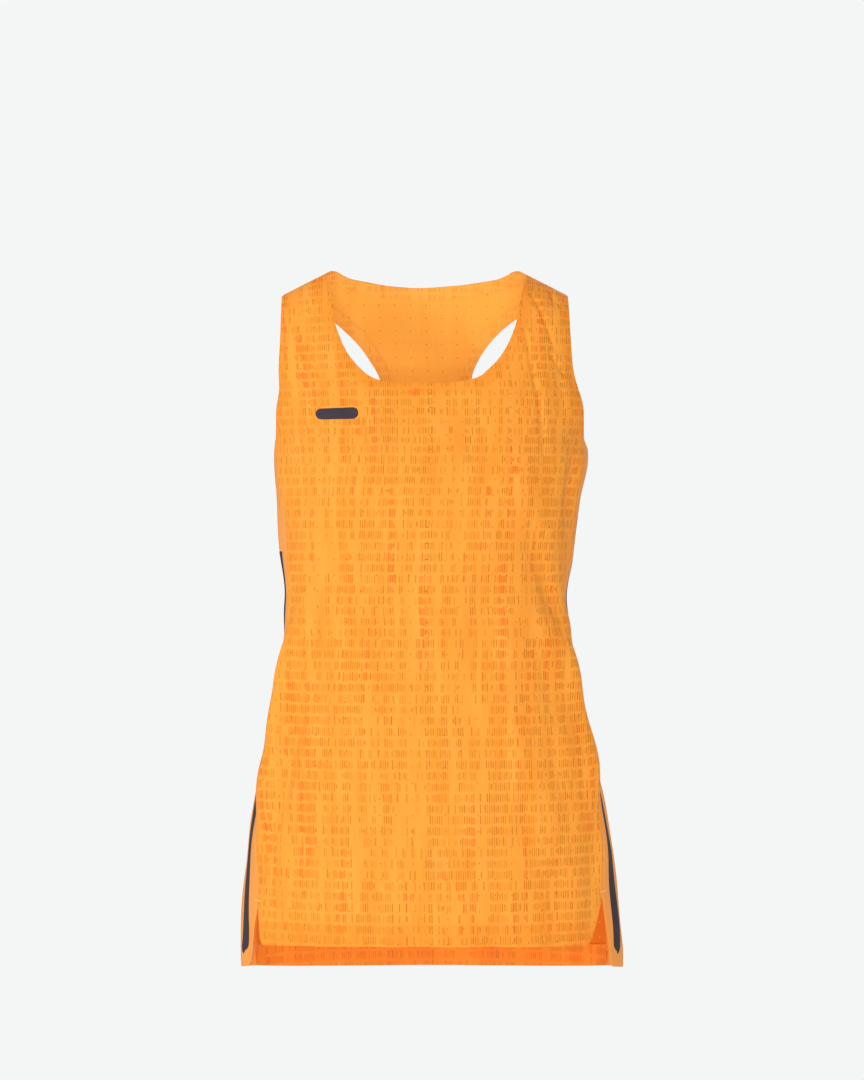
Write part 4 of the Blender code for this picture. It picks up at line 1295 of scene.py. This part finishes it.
def dash_pattern(tree, colours, sizes):
    """The knit-in dashes: short upright ribs in rows, gathered in uneven clusters and columns,
    and the dark rims of the eyelets.  Above the underarms the eyelets are painted shade, dark dots for
    the inside seen through them.  Returns the place, colour and rib height sockets."""
    place = add_node(tree, "ShaderNodeUVMap", uv_map=CLOTH_MAP).outputs[0]
    axes = add_node(tree, "ShaderNodeSeparateXYZ", (place,))
    steps = []
    for axis, pitch in enumerate((sizes.rib_pitch, sizes.row_pitch)):
        run = add_node(tree, "ShaderNodeMath", (axes.outputs[axis], pitch), operation="DIVIDE").outputs[0]
        for step in ("FLOOR", "FRACT"):
            steps.append(add_node(tree, "ShaderNodeMath", (run,), operation=step).outputs[0])
    rib_number, rib_part, row_number, row_part = steps

    # Each noise is read once for each rib and row.  Columns change slowly down the cloth,
    # clusters are a few ribs wide and nearly new in each row, and the tone is slower still.
    noises = []
    for across_rate, down_rate, start, detail in DASH_NOISES:
        runs = [add_node(tree, "ShaderNodeMath", (number, rate), operation="MULTIPLY").outputs[0]
                for number, rate in ((rib_number, across_rate), (row_number, down_rate))]
        at = add_node(tree, "ShaderNodeCombineXYZ", (*runs, start)).outputs[0]
        noises.append(add_node(tree, "ShaderNodeTexNoise", {
            "Vector": at, "Scale": 1.0, "Detail": detail, "Roughness": NOISE_ROUGHNESS}).outputs[0])
    columns, clusters, tone = noises
    chances = []
    for start in CHANCE_STARTS:
        at = add_node(tree, "ShaderNodeCombineXYZ", (rib_number, row_number, start)).outputs[0]
        chances.append(add_node(tree, "ShaderNodeTexWhiteNoise", {"Vector": at},
                                noise_dimensions="3D").outputs[0])
    own, ragged = chances
    total = 0.0
    for part, share in ((columns, COLUMN_SHARE), (clusters, CLUSTER_SHARE), (own, OWN_SHARE)):
        total = add_node(tree, "ShaderNodeMath", (part, share, total), operation="MULTIPLY_ADD").outputs[0]
    strength = add_node(tree, "ShaderNodeMapRange", (total, *DASH_RANGE, 0.0, 1.0)).outputs[0]

    # The dashes of a cluster are a little uneven in height, and stand a little up or down
    growth = add_node(tree, "ShaderNodeMath", (strength, GROWTH_POWER), operation="POWER").outputs[0]
    tall = add_node(tree, "ShaderNodeMapRange", (own, 0.0, 1.0, *HALF_DASH)).outputs[0]
    half = add_node(tree, "ShaderNodeMath", (growth, tall), operation="MULTIPLY").outputs[0]
    middle = add_node(tree, "ShaderNodeMapRange", (ragged, 0.0, 1.0, *DASH_MIDDLE)).outputs[0]
    off = add_node(tree, "ShaderNodeMath", (row_part, middle), operation="SUBTRACT").outputs[0]
    off = add_node(tree, "ShaderNodeMath", (off,), operation="ABSOLUTE").outputs[0]
    inside = add_node(tree, "ShaderNodeMath", (half, off), operation="SUBTRACT").outputs[0]
    dash = add_node(tree, "ShaderNodeMapRange", (inside, 0.0, DASH_END, 0.0, 1.0)).outputs[0]

    # Each rib is a dark float with the ground knit on both sides of it
    beside = add_node(tree, "ShaderNodeMath", (rib_part, 0.5), operation="SUBTRACT").outputs[0]
    beside = add_node(tree, "ShaderNodeMath", (beside,), operation="ABSOLUTE").outputs[0]
    line = add_node(tree, "ShaderNodeMapRange", (beside, *RIB_FADE, 1.0, 0.0)).outputs[0]
    depth = add_node(tree, "ShaderNodeMapRange", (ragged, 0.0, 1.0, *RIB_STRENGTH)).outputs[0]
    for share in (dash, depth):
        line = add_node(tree, "ShaderNodeMath", (line, share), operation="MULTIPLY").outputs[0]
    warm = add_node(tree, "ShaderNodeMapRange", (tone, *WARM_RANGE, 0.0, 1.0)).outputs[0]
    fill = add_node(tree, "ShaderNodeMapRange", (warm, 0.0, 1.0, PLAIN_FILL, WARM_FILL)).outputs[0]
    fill = add_node(tree, "ShaderNodeMath", (fill, dash), operation="MULTIPLY").outputs[0]

    # The eyelets' rims, and above the underarms the eyelets themselves.  These are not punched, and
    # painted shade draws them as dark dots for the shaded inside seen through them.
    half_pitch = (sizes.eyelet_across / 2, sizes.eyelet_down / 2, 0.0)
    pitch = (sizes.eyelet_across, sizes.eyelet_down, 1.0)
    nearest = add_node(tree, "ShaderNodeVectorMath", (place, half_pitch), operation="ADD").outputs[0]
    nearest = add_node(tree, "ShaderNodeVectorMath", (nearest, pitch), operation="SNAP").outputs[0]
    reach = add_node(tree, "ShaderNodeVectorMath", (place, nearest), operation="DISTANCE").outputs["Value"]
    inner, outer = (sizes.eyelet_diameter / 2 * share for share in EYELET_FADE)
    eyelet = add_node(tree, "ShaderNodeMapRange", (reach, inner, outer, 1.0, 0.0)).outputs[0]

    # The ground's own slow change of shade
    wales = add_node(tree, "ShaderNodeVectorMath", (place, DRIFT_STRETCH), operation="MULTIPLY").outputs[0]
    drift = add_node(tree, "ShaderNodeTexNoise", {"Vector": wales, "Scale": 1 / DRIFT_SIZE,
                                                  "Detail": 2.0}).outputs[0]
    drift = add_node(tree, "ShaderNodeMapRange", (drift, *DRIFT_RANGE, 0.0, 1.0)).outputs[0]
    # Where a turned edge's second layer lies behind, painted shade darkens the ground
    doubled = add_node(tree, "ShaderNodeAttribute", attribute_name=DOUBLED).outputs["Fac"]
    shade = {name: linear(code, 1) for name, code in colours.items()}
    rib_colour = add_node(tree, "ShaderNodeMix", {0: warm, 6: shade["rib"], 7: shade["rib_warm"]},
                          data_type="RGBA").outputs[2]
    colour = shade["ground"]
    for share, over, blend in ((drift, shade["ground_deep"], "MIX"),
                               (doubled, linear(TURNED_EDGE_PAINTED_SHADE, 1), "MULTIPLY"),
                               (fill, shade["fill"], "MIX"),
                               (line, rib_colour, "MIX"),
                               (eyelet, shade["eyelet"], "MIX")):
        colour = add_node(tree, "ShaderNodeMix", {0: share, 6: colour, 7: over},
                          data_type="RGBA", blend_type=blend).outputs[2]
    return place, colour, line


def fine_knit_height(tree, place):
    """The height of a fine jersey's stitches."""
    waves = []
    for direction, size in STITCH_SIZES:
        inputs = {"Vector": place, "Scale": WAVE_LENGTH / size, "Distortion": STITCH_WOBBLE,
                  "Detail": 1.0, "Detail Scale": 2.0}
        waves.append(add_node(tree, "ShaderNodeTexWave", inputs, wave_type="BANDS",
                              bands_direction=direction).outputs[1])
    return add_node(tree, "ShaderNodeMath", waves, operation="MULTIPLY").outputs[0]


def cloth_surface(tree, shader, colour, height, roughness):
    """Links a cloth's colour and bump, and sets its gloss."""
    tree.links.new(colour, shader.inputs["Base Color"])
    bump = add_node(tree, "ShaderNodeBump", {"Strength": CLOTH_BUMP, "Distance": CLOTH_BUMP_DISTANCE,
                                             "Height": height})
    tree.links.new(bump.outputs[0], shader.inputs["Normal"])
    shader.inputs["Roughness"].default_value = roughness
    shader.inputs["Specular IOR Level"].default_value = CLOTH_SPECULAR
    shader.inputs["Sheen Weight"].default_value = CLOTH_SHEEN
    shader.inputs["Sheen Roughness"].default_value = CLOTH_SHEEN_ROUGHNESS


def jacquard_face(sizes):
    """Perforated jacquard knit, polyester, its face: matt, with darker knit-in dashes."""
    made, tree, shader = new_material("Jacquard knit face")
    place, colour, line = dash_pattern(tree, FACE_COLOURS, sizes)
    grain = fine_knit_height(tree, place)
    height = add_node(tree, "ShaderNodeMath", (line, RIB_HEIGHT, grain),
                      operation="MULTIPLY_ADD").outputs[0]
    cloth_surface(tree, shader, colour, height, roughness=0.72)
    return made


def jacquard_reverse(sizes):
    """The same knit's reverse: plainer, with only a trace of the dashes.  Its paler ground is partly the
    reverse's own colour and partly painted light that brightens the inside, and lower down it carries
    painted shade.
    """
    made, tree, shader = new_material("Jacquard knit reverse")
    place, colour, _ = dash_pattern(tree, REVERSE_OWN_AND_PAINTED_LIGHT_COLOURS, sizes)
    axes = add_node(tree, "ShaderNodeSeparateXYZ", (place,))
    # Painted shade: the reverse deepens lower down, where less light gets in
    low = add_node(tree, "ShaderNodeMapRange", (axes.outputs[1], *REVERSE_PAINTED_SHADE_SPAN, 0.0, 1.0)).outputs[0]
    colour = add_node(tree, "ShaderNodeMix", {0: low, 6: colour, 7: linear(REVERSE_PAINTED_SHADE_COLOUR, 1)},
                      data_type="RGBA").outputs[2]
    cloth_surface(tree, shader, colour, fine_knit_height(tree, place), roughness=0.80)
    return made


def jacquard_turned_painted_light(sizes):
    """The knit's face, turned in and bonded at the neck and armholes, paler than the face with painted
    light where it shows inside.
    """
    made, tree, shader = new_material("Jacquard knit turned in, painted light")
    place, colour, _ = dash_pattern(tree, TURNED_PAINTED_LIGHT_COLOURS, sizes)
    cloth_surface(tree, shader, colour, fine_knit_height(tree, place), roughness=0.75)
    return made


def jacquard_hem_painted_shade(sizes):
    """The knit's face, turned up and bonded at the hems in two layers, and deeper than the face with
    painted shade where it lies inside.
    """
    made, tree, shader = new_material("Jacquard knit hem, painted shade")
    place, colour, _ = dash_pattern(tree, HEM_PAINTED_SHADE_COLOURS, sizes)
    cloth_surface(tree, shader, colour, fine_knit_height(tree, place), roughness=0.75)
    return made


def plain_knit():
    """Plain fine knit, polyester: a slightly pinker matt cloth with upright wales."""
    made, tree, shader = new_material("Plain side knit")
    place = add_node(tree, "ShaderNodeUVMap", uv_map=CLOTH_MAP).outputs[0]
    drift = add_node(tree, "ShaderNodeTexNoise", {"Vector": place, "Scale": 1 / PLAIN_DRIFT_SIZE,
                                                  "Detail": 2.0}).outputs[0]
    pale, deep = (linear(code, 1) for code in PLAIN_COLOURS)
    colour = add_node(tree, "ShaderNodeMix", {0: drift, 6: pale, 7: deep}, data_type="RGBA").outputs[2]
    cloth_surface(tree, shader, colour, fine_knit_height(tree, place), roughness=0.75)
    return made


def bonded_film(colours):
    """Heat-bonded film, polyurethane: smooth charcoal with a soft satin gloss."""
    made, tree, shader = new_material("Bonded charcoal film")
    place = add_node(tree, "ShaderNodeUVMap", uv_map=CLOTH_MAP).outputs[0]
    cloud = add_node(tree, "ShaderNodeTexNoise", {"Vector": place, "Scale": 1 / FILM_CLOUD_SIZE,
                                                  "Detail": 3.0}).outputs[0]
    colour = add_node(tree, "ShaderNodeMix", {0: cloud, 6: (*colours.film, 1),
                                              7: linear(FILM_CLOUD_COLOUR, 1)},
                      data_type="RGBA").outputs[2]
    tree.links.new(colour, shader.inputs["Base Color"])
    rough = add_node(tree, "ShaderNodeMapRange", (cloud, *FILM_CLOUD_RANGE, *FILM_ROUGHNESS)).outputs[0]
    tree.links.new(rough, shader.inputs["Roughness"])
    shader.inputs["Specular IOR Level"].default_value = FILM_SPECULAR
    bump = add_node(tree, "ShaderNodeBump", {"Strength": FILM_BUMP, "Distance": FILM_BUMP_DISTANCE,
                                             "Height": fine_knit_height(tree, place)})
    tree.links.new(bump.outputs[0], shader.inputs["Normal"])
    return made


def seam_tape():
    """Stretch seam tape, bonded over the seams inside: smoother than the knit."""
    made, tree, shader = new_material("Seam tape")
    place = add_node(tree, "ShaderNodeUVMap", uv_map=CLOTH_MAP).outputs[0]
    drift = add_node(tree, "ShaderNodeTexNoise", {"Vector": place, "Scale": 1 / TAPE_DRIFT_SIZE,
                                                  "Detail": 2.0}).outputs[0]
    pale, deep = (linear(code, 1) for code in TAPE_COLOURS)
    colour = add_node(tree, "ShaderNodeMix", {0: drift, 6: pale, 7: deep}, data_type="RGBA").outputs[2]
    cloth_surface(tree, shader, colour, fine_knit_height(tree, place), roughness=0.6)
    return made


def tack_thread():
    """Bar tack thread, polyester filament, laid close in satin stitches."""
    made, tree, shader = new_material("Bar tack thread")
    place = add_node(tree, "ShaderNodeUVMap", uv_map=CLOTH_MAP).outputs[0]
    stitches = add_node(tree, "ShaderNodeTexWave", {"Vector": place, "Distortion": THREAD_WOBBLE,
                                                    "Scale": WAVE_LENGTH / THREAD_STITCH_SIZE},
                        wave_type="BANDS", bands_direction="X").outputs[1]
    pale, deep = (linear(code, 1) for code in THREAD_COLOURS)
    colour = add_node(tree, "ShaderNodeMix", {0: stitches, 6: pale, 7: deep}, data_type="RGBA").outputs[2]
    tree.links.new(colour, shader.inputs["Base Color"])
    bump = add_node(tree, "ShaderNodeBump", {"Strength": THREAD_BUMP, "Distance": THREAD_BUMP_DISTANCE,
                                             "Height": stitches})
    tree.links.new(bump.outputs[0], shader.inputs["Normal"])
    shader.inputs["Roughness"].default_value = THREAD_ROUGHNESS
    return made


def finish_named(name, make, *given):
    """A finish, made the first time that a piece asks for it."""
    return bpy.data.materials.get(name) or make(*given)


class SingletSizes(bpy.types.PropertyGroup):
    cloth_thickness: bpy.props.FloatProperty(
        name="Cloth thickness", description="Thickness of the knits",
        default=0.0005, min=0.0002, max=0.001, unit="LENGTH")
    eyelet_diameter: bpy.props.FloatProperty(
        name="Eyelet diameter", description="Width of each punched eyelet",
        default=0.0010, min=0.0005, max=0.002, unit="LENGTH")
    eyelet_across: bpy.props.FloatProperty(
        name="Eyelet spacing across", description="Distance between eyelets along a row",
        default=0.0145, min=0.008, max=0.05, unit="LENGTH")
    eyelet_down: bpy.props.FloatProperty(
        name="Eyelet spacing down", description="Distance between rows of eyelets",
        default=0.0143, min=0.008, max=0.05, unit="LENGTH")
    rib_pitch: bpy.props.FloatProperty(
        name="Rib pitch", description="Distance between the ribs of a dash cluster",
        default=0.00203, min=0.001, max=0.005, unit="LENGTH")
    row_pitch: bpy.props.FloatProperty(
        name="Dash row pitch", description="Distance between rows of dashes",
        default=0.00979, min=0.004, max=0.03, unit="LENGTH")
    turned_width: bpy.props.FloatProperty(
        name="Turned edge width", description="Width of the cloth turned in at the edges",
        default=0.010, min=0.004, max=0.02, unit="LENGTH")
    hem_width: bpy.props.FloatProperty(
        name="Hem width", description="Width of the cloth turned in at the hems",
        default=0.020, min=0.008, max=0.03, unit="LENGTH")
    tab_length: bpy.props.FloatProperty(
        name="Chest tab length", description="Length of the film tab on the chest",
        default=0.040, min=0.01, max=0.08, unit="LENGTH")
    tab_height: bpy.props.FloatProperty(
        name="Chest tab height", description="Height of the film tab on the chest",
        default=0.011, min=0.004, max=0.03, unit="LENGTH")


class SingletColours(bpy.types.PropertyGroup):
    film: bpy.props.FloatVectorProperty(
        name="Film", description="Colour of the bonded film on the sides and the chest",
        default=linear("#433B43"), min=0.0, max=1.0, size=3, subtype="COLOR")
    floor: bpy.props.FloatVectorProperty(
        name="Floor", description="Colour of the studio floor",
        default=linear("#F0F2F2"), min=0.0, max=1.0, size=3, subtype="COLOR")


def knit_panel(name, front, cut, turned_lines, sizes):
    """A jacquard panel that is cut, punched and laid on the body, with its face and reverse."""
    piece = flat_piece(name, cut)
    rim = outline_points(piece)
    add_border(piece, BORDER_WIDTH)
    punch_eyelets(piece, front, sizes, EYELET_MARGIN)
    mark_doubled(piece, front, turned_lines)
    lay_on_body(piece, front, 0.0, rim)
    give_wall(piece, sizes.cloth_thickness,
              (finish_named("Jacquard knit face", jacquard_face, sizes),
               finish_named("Jacquard knit reverse", jacquard_reverse, sizes)), 1)
    return piece


class SINGLET_OT_front_panel(bpy.types.Operator):
    """Cuts and punches the front panel and lays it on the body"""
    bl_idname = "singlet.front_panel"
    bl_label = "Front Panel"

    def execute(self, context):
        sizes = context.scene.singlet_sizes
        cut = front_pattern().swayed()
        low = cut.faces[0][0]
        right, left = cut.across[low], cut.across[low + 2 * FRONT_HALF_COLUMNS]
        round_corners(cut, ((right, FRONT_HEM_SIDE, 1, 1), (left, FRONT_HEM_SIDE, -1, 1)), CORNER_RADIUS)
        width, length, area = cut_size(cut)
        # Painted light: the turned-in knit is paler where it shows inside
        facing = finish_named("Jacquard knit turned in, painted light", jacquard_turned_painted_light, sizes)
        # Painted shade: the hem knit is deeper where it lies inside
        hem = finish_named("Jacquard knit hem, painted shade", jacquard_hem_painted_shade, sizes)
        turned_lines = (
            (mirrored_line(spaced(front_neck_line(), NECK_POINTS)), -1, sizes.turned_width, facing),
            (front_armhole_line(1), 1, sizes.turned_width, facing),
            (front_armhole_line(-1), -1, sizes.turned_width, facing),
            (front_hem_line(), 1, sizes.hem_width, hem))
        piece = knit_panel("front_cloth", True, cut, turned_lines, sizes)
        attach(piece, BODY)
        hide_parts("front_panel")
        turned = turned_edges("front_turned_edges", True, turned_lines)
        return {"FINISHED"}


class SINGLET_OT_back_panel(bpy.types.Operator):
    """Cuts and punches the racerback panel and lays it on the body"""
    bl_idname = "singlet.back_panel"
    bl_label = "Back Panel"

    def execute(self, context):
        sizes = context.scene.singlet_sizes
        cut = back_pattern().swayed()
        width, length, area = cut_size(cut)
        # Painted light: the turned-in knit is paler where it shows inside
        facing = finish_named("Jacquard knit turned in, painted light", jacquard_turned_painted_light, sizes)
        # Painted shade: the hem knit is deeper where it lies inside
        hem = finish_named("Jacquard knit hem, painted shade", jacquard_hem_painted_shade, sizes)
        turned_lines = (
            (mirrored_line(spaced(back_neck_line(), NECK_POINTS)), -1, sizes.turned_width, facing),
            (back_armhole_line(1), 1, sizes.turned_width, facing),
            (back_armhole_line(-1), -1, sizes.turned_width, facing),
            (back_hem_line(), 1, sizes.hem_width, hem))
        piece = knit_panel("back_cloth", False, cut, turned_lines, sizes)
        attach(piece, BODY)
        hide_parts("back_panel")
        turned = turned_edges("back_turned_edges", False, turned_lines)
        return {"FINISHED"}


class SINGLET_OT_side_panels(bpy.types.Operator):
    """Cuts the two plain side panels and lays them on the body"""
    bl_idname = "singlet.side_panels"
    bl_label = "Side Panels"

    def execute(self, context):
        sizes = context.scene.singlet_sizes
        for side, word in SIDES:
            cut = side_pattern(side)
            round_corners(cut, ((cut.across[0], SIDE_HEM_FRONT, side, 1),), CORNER_RADIUS)
            width, length, area = cut_size(cut)
            piece = flat_piece("side_cloth_" + word, cut)
            rim = outline_points(piece)
            add_border(piece, BORDER_WIDTH)
            lay_on_body(piece, True, 0.0, rim)
            facing = finish_named("Plain side knit", plain_knit)
            give_wall(piece, sizes.cloth_thickness, (facing,))
            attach(piece, BODY)
            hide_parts("side_panel_" + word)
            turned = turned_edges("side_turned_edges_" + word, True, (
                (side_line(side, True), -side, sizes.turned_width, facing),
                (side_line(side, False), side, sizes.hem_width, facing)))
        return {"FINISHED"}


def turned_edges(name, front, lines):
    """The cloth turned in along a panel's free edges, which shows its face inside."""
    made = []
    for number, (line, side, width, finish) in enumerate(lines):
        cut = strip_pattern(front, hung_line(front, line), width, side, EDGE_STEP)
        strip = flat_piece(name + str(number), cut)
        lay_on_body(strip, front, TURNED_DEPTH)
        give_wall(strip, TURNED_THICKNESS, (finish,))
        made.append(strip)
    piece = join(name, made)
    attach(piece, BODY)
    return piece


class SINGLET_OT_seams(bpy.types.Operator):
    """Bonds tape over the seams inside and sews a bar tack above each slit"""
    bl_idname = "singlet.seams"
    bl_label = "Seam Tapes and Bar Tacks"

    def execute(self, context):
        made = []
        finish = finish_named("Seam tape", seam_tape)
        ends = np.linspace(0, 1, SHOULDER_TAPE_POINTS)
        half_x = SHOULDER_NECK_END[0] + (SHOULDER_ARM_END[0] - SHOULDER_NECK_END[0]) * ends
        level = SHOULDER_NECK_END[1] + (SHOULDER_ARM_END[1] - SHOULDER_NECK_END[1]) * ends
        shoulder = np.stack((across_of(True, half_x, level), level), axis=-1)
        down = np.linspace(UNDERARM_LEVEL - TAPE_BELOW_UNDERARM, TAPE_END_LEVEL, TAPE_POINTS)
        for side in (1, -1):
            front_down = down[down > SLIT_TOP[side] + TAPE_ABOVE_SLIT]
            for word, front, line in (
                    ("front", True, np.stack((side * seam_edge(True, front_down) + seam_turn(front_down),
                                              front_down), axis=-1)),
                    ("back", False, np.stack((side * seam_edge(False, down), down), axis=-1)),
                    ("shoulder", True, shoulder * (side, 1))):
                cut = strip_pattern(front, line, TAPE_WIDTH / 2, 1, -TAPE_WIDTH / 2, 3)
                tape = flat_piece(word + "_tape" + str(side), cut)
                lay_on_body(tape, front, TAPE_DEPTH)
                give_wall(tape, TAPE_THICKNESS, (finish,))
                made.append(tape)
        tapes = join("seam_tapes", made)
        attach(tapes, BODY)
        made = []
        finish = finish_named("Bar tack thread", tack_thread)
        for side in (1, -1):
            level = SLIT_TOP[side] + TACK_ABOVE_SLIT
            centre = (side * seam_edge(True, level)[0], level)
            made.append(rounded_bar("bar_tack" + str(side), True, centre, TACK_SIZE, -TACK_LIFT,
                                    TACK_THICKNESS, finish))
        tacks = join("bar_tacks", made)
        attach(tacks, BODY)
        return {"FINISHED"}


def rounded_bar(name, front, centre, size, depth, thickness, finish):
    """A bar with round ends that lies on the cloth."""
    cut = Pattern(front)
    length, height = size
    radius = height / 2
    along = np.sin(np.linspace(-np.pi / 2, np.pi / 2, BAR_STEPS + 1)) * BAR_END * length / 2
    past = np.maximum(np.abs(along) - (length / 2 - radius), 0.0)
    half = np.sqrt(np.maximum(radius ** 2 - past ** 2, BAR_END_WIDTH ** 2))
    rows = np.linspace(-1, 1, BAR_ROWS + 1)
    run = cloth_run(front)
    middle = np.interp(centre[1], RUN_LEVELS, run)
    cut.add_block([centre[0] + along for _ in rows],
                  [np.interp(middle + half * part, run, RUN_LEVELS) for part in rows])
    piece = flat_piece(name, cut)
    lay_on_body(piece, front, depth)
    give_wall(piece, thickness, (finish,))
    return piece


class SINGLET_OT_side_bands(bpy.types.Operator):
    """Lays a plain band of bonded film down each side panel"""
    bl_idname = "singlet.side_bands"
    bl_label = "Side Bands"

    def execute(self, context):
        finish = finish_named("Bonded charcoal film", bonded_film, context.scene.singlet_colours)
        for side, word in SIDES:
            cut = Pattern(True)
            part = np.linspace(0, 1, BAND_STEPS + 1)
            low = side_hem(np.interp(part, (0, 1), BAND_ON_HEM)) + BAND_END_ABOVE_HEM + BAND_END_ROUND
            turn = np.linspace(*BAND_END_TURN, BAND_END_ROWS + 1)
            rows = [(low - BAND_END_ROUND * np.cos(angle), np.sin(angle)) for angle in turn]
            rows += [(low + (BAND_TOPS[side] - low) * row / BAND_ROWS, 1.0)
                     for row in range(1, BAND_ROWS + 1)]
            across_rows = []
            level_rows = []
            for level, share in rows:
                ahead = table_value(BANDS, BAND_COLUMNS, word + "_front", level)
                behind = table_value(BANDS, BAND_COLUMNS, word + "_back", level)
                narrow = (ahead - behind) / 2 * (1 - share)
                ahead, behind = ahead - narrow, behind + narrow
                across_rows.append(side * (quarter_length(True, level) - ahead + (ahead - behind) * part))
                level_rows.append(level)
            cut.add_block(across_rows, level_rows)
            piece = flat_piece("side_band_" + word, cut)
            lay_on_body(piece, True, -FILM_LIFT)
            give_wall(piece, FILM_THICKNESS, (finish,))
            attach(piece, BODY)
        return {"FINISHED"}


class SINGLET_OT_chest_tab(bpy.types.Operator):
    """Lays a plain round-ended tab of bonded film on the chest"""
    bl_idname = "singlet.chest_tab"
    bl_label = "Chest Tab"

    def execute(self, context):
        sizes = context.scene.singlet_sizes
        finish = finish_named("Bonded charcoal film", bonded_film, context.scene.singlet_colours)
        piece = rounded_bar("chest_tab", True, TAB_CENTRE, (sizes.tab_length, sizes.tab_height),
                            -FILM_LIFT, FILM_THICKNESS, finish)
        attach(piece, BODY)
        return {"FINISHED"}


# The studio: the camera stands level in front of the singlet
CAMERA_PLACE = (0.00368, -3.2, -0.2367)
CAMERA_LENS = 115.94
SENSOR_HEIGHT = 36.0
FLOOR_LEVEL = -1.20
LIGHT_COLUMNS = ("name", "place", "aim", "width", "height", "power")
LIGHTS = (
    ("key_light", (-2.9, -1.5, 1.4), (0.0, 0.0, -0.30), 1.3, 1.3, 63.0),
    ("fill_light", (3.0, -1.2, 1.0), (0.0, 0.0, -0.25), 1.3, 1.3, 20.0),
    ("front_light", (0.0, -3.5, -0.28), (0.0, 0.0, -0.20), 1.2, 0.8, 45.0),
    ("low_light", (0.0, -3.4, -0.95), (0.0, 0.0, -0.40), 1.4, 0.6, 5.0),
    ("bounce_light", (0.0, -0.05, -1.12), (0.0, -0.05, -0.30), 0.26, 0.12, 1.6),
    ("back_light", (0.8, 2.8, 1.4), (0.0, 0.0, -0.30), 1.8, 1.8, 50.0),
)
FLOOR_RADIUS = 2.9
FLOOR_CORNERS = 96
FLOOR_ROUGHNESS = 0.9
FLOOR_CLOUD_SCALE = 0.8
FLOOR_CLOUD_COLOUR = "#EFF1F1"
BACKDROP_COLOUR = "#F4F6F6"
SOFT_LIGHT = 0.39


class SINGLET_OT_studio(bpy.types.Operator):
    """Sets up the pale floor, the soft lights and the camera"""
    bl_idname = "singlet.studio"
    bl_label = "Studio"

    def execute(self, context):
        scene = context.scene
        select_nothing()
        bpy.ops.mesh.primitive_circle_add(vertices=FLOOR_CORNERS, radius=FLOOR_RADIUS, fill_type="NGON")
        floor = context.active_object
        floor.name = "studio_floor"
        floor.location = (0.0, 0.0, FLOOR_LEVEL)
        bpy.ops.object.transform_apply()
        finish, tree, shader = new_material("Matt studio floor")
        place = add_node(tree, "ShaderNodeTexCoord").outputs["Object"]
        inputs = {"Vector": place, "Scale": FLOOR_CLOUD_SCALE, "Detail": 1.0}
        cloud = add_node(tree, "ShaderNodeTexNoise", inputs).outputs[0]
        colour = add_node(tree, "ShaderNodeMix", {0: cloud, 6: (*scene.singlet_colours.floor, 1),
                                                  7: linear(FLOOR_CLOUD_COLOUR, 1)},
                          data_type="RGBA").outputs[2]
        tree.links.new(colour, shader.inputs["Base Color"])
        shader.inputs["Roughness"].default_value = FLOOR_ROUGHNESS
        floor.data.materials.append(finish)

        world = bpy.data.worlds.new("soft_studio")
        scene.world = world
        world.use_nodes = True
        tree = world.node_tree
        shown = add_node(tree, "ShaderNodeLightPath").outputs["Is Camera Ray"]
        strength = add_node(tree, "ShaderNodeMapRange", (shown, 0.0, 1.0, SOFT_LIGHT, 1.0)).outputs[0]
        tree.nodes["Background"].inputs["Color"].default_value = linear(BACKDROP_COLOUR, 1)
        tree.links.new(strength, tree.nodes["Background"].inputs["Strength"])

        for row in LIGHTS:
            light = dict(zip(LIGHT_COLUMNS, row))
            data = bpy.data.lights.new(light["name"], "AREA")
            data.shape = "RECTANGLE"
            data.size = light["width"]
            data.size_y = light["height"]
            data.energy = light["power"]
            lamp = bpy.data.objects.new(light["name"], data)
            scene.collection.objects.link(lamp)
            lamp.location = light["place"]
            lamp.visible_camera = False
            aim = Vector(light["aim"]) - Vector(light["place"])
            lamp.rotation_euler = aim.to_track_quat("-Z", "Y").to_euler()

        lens = bpy.data.cameras.new("camera")
        lens.sensor_fit = "VERTICAL"
        lens.sensor_height = SENSOR_HEIGHT
        lens.lens = CAMERA_LENS
        camera = bpy.data.objects.new("camera", lens)
        scene.collection.objects.link(camera)
        camera.location = CAMERA_PLACE
        camera.rotation_euler = (np.pi / 2, 0.0, 0.0)
        scene.camera = camera
        scene.view_settings.view_transform = "Standard"
        return {"FINISHED"}


class SINGLET_PT_make(bpy.types.Panel):
    bl_label = "Running Singlet"
    bl_idname = "SINGLET_PT_make"
    bl_space_type = "VIEW_3D"
    bl_region_type = "UI"
    bl_category = "Singlet"

    def draw(self, context):
        for group in (context.scene.singlet_sizes, context.scene.singlet_colours):
            for name in group.bl_rna.properties.keys():
                if name not in ("rna_type", "name"):
                    self.layout.prop(group, name)
        for step in STEPS:
            self.layout.operator(step.bl_idname)


STEPS = (SINGLET_OT_front_panel, SINGLET_OT_back_panel, SINGLET_OT_side_panels, SINGLET_OT_seams,
         SINGLET_OT_side_bands, SINGLET_OT_chest_tab, SINGLET_OT_studio)
GROUPS = (SingletSizes, SingletColours)


def register():
    for made in GROUPS + STEPS + (SINGLET_PT_make,):
        bpy.utils.register_class(made)
    bpy.types.Scene.singlet_sizes = bpy.props.PointerProperty(type=SingletSizes)
    bpy.types.Scene.singlet_colours = bpy.props.PointerProperty(type=SingletColours)


def unregister():
    del bpy.types.Scene.singlet_colours
    del bpy.types.Scene.singlet_sizes
    for made in reversed(GROUPS + STEPS + (SINGLET_PT_make,)):
        bpy.utils.unregister_class(made)


def main():
    """Registers the add-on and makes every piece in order."""
    register()
    bpy.ops.singlet.front_panel()
    bpy.ops.singlet.back_panel()
    bpy.ops.singlet.side_panels()
    bpy.ops.singlet.seams()
    bpy.ops.singlet.side_bands()
    bpy.ops.singlet.chest_tab()
    bpy.ops.singlet.studio()


if __name__ == "__main__":
    main()
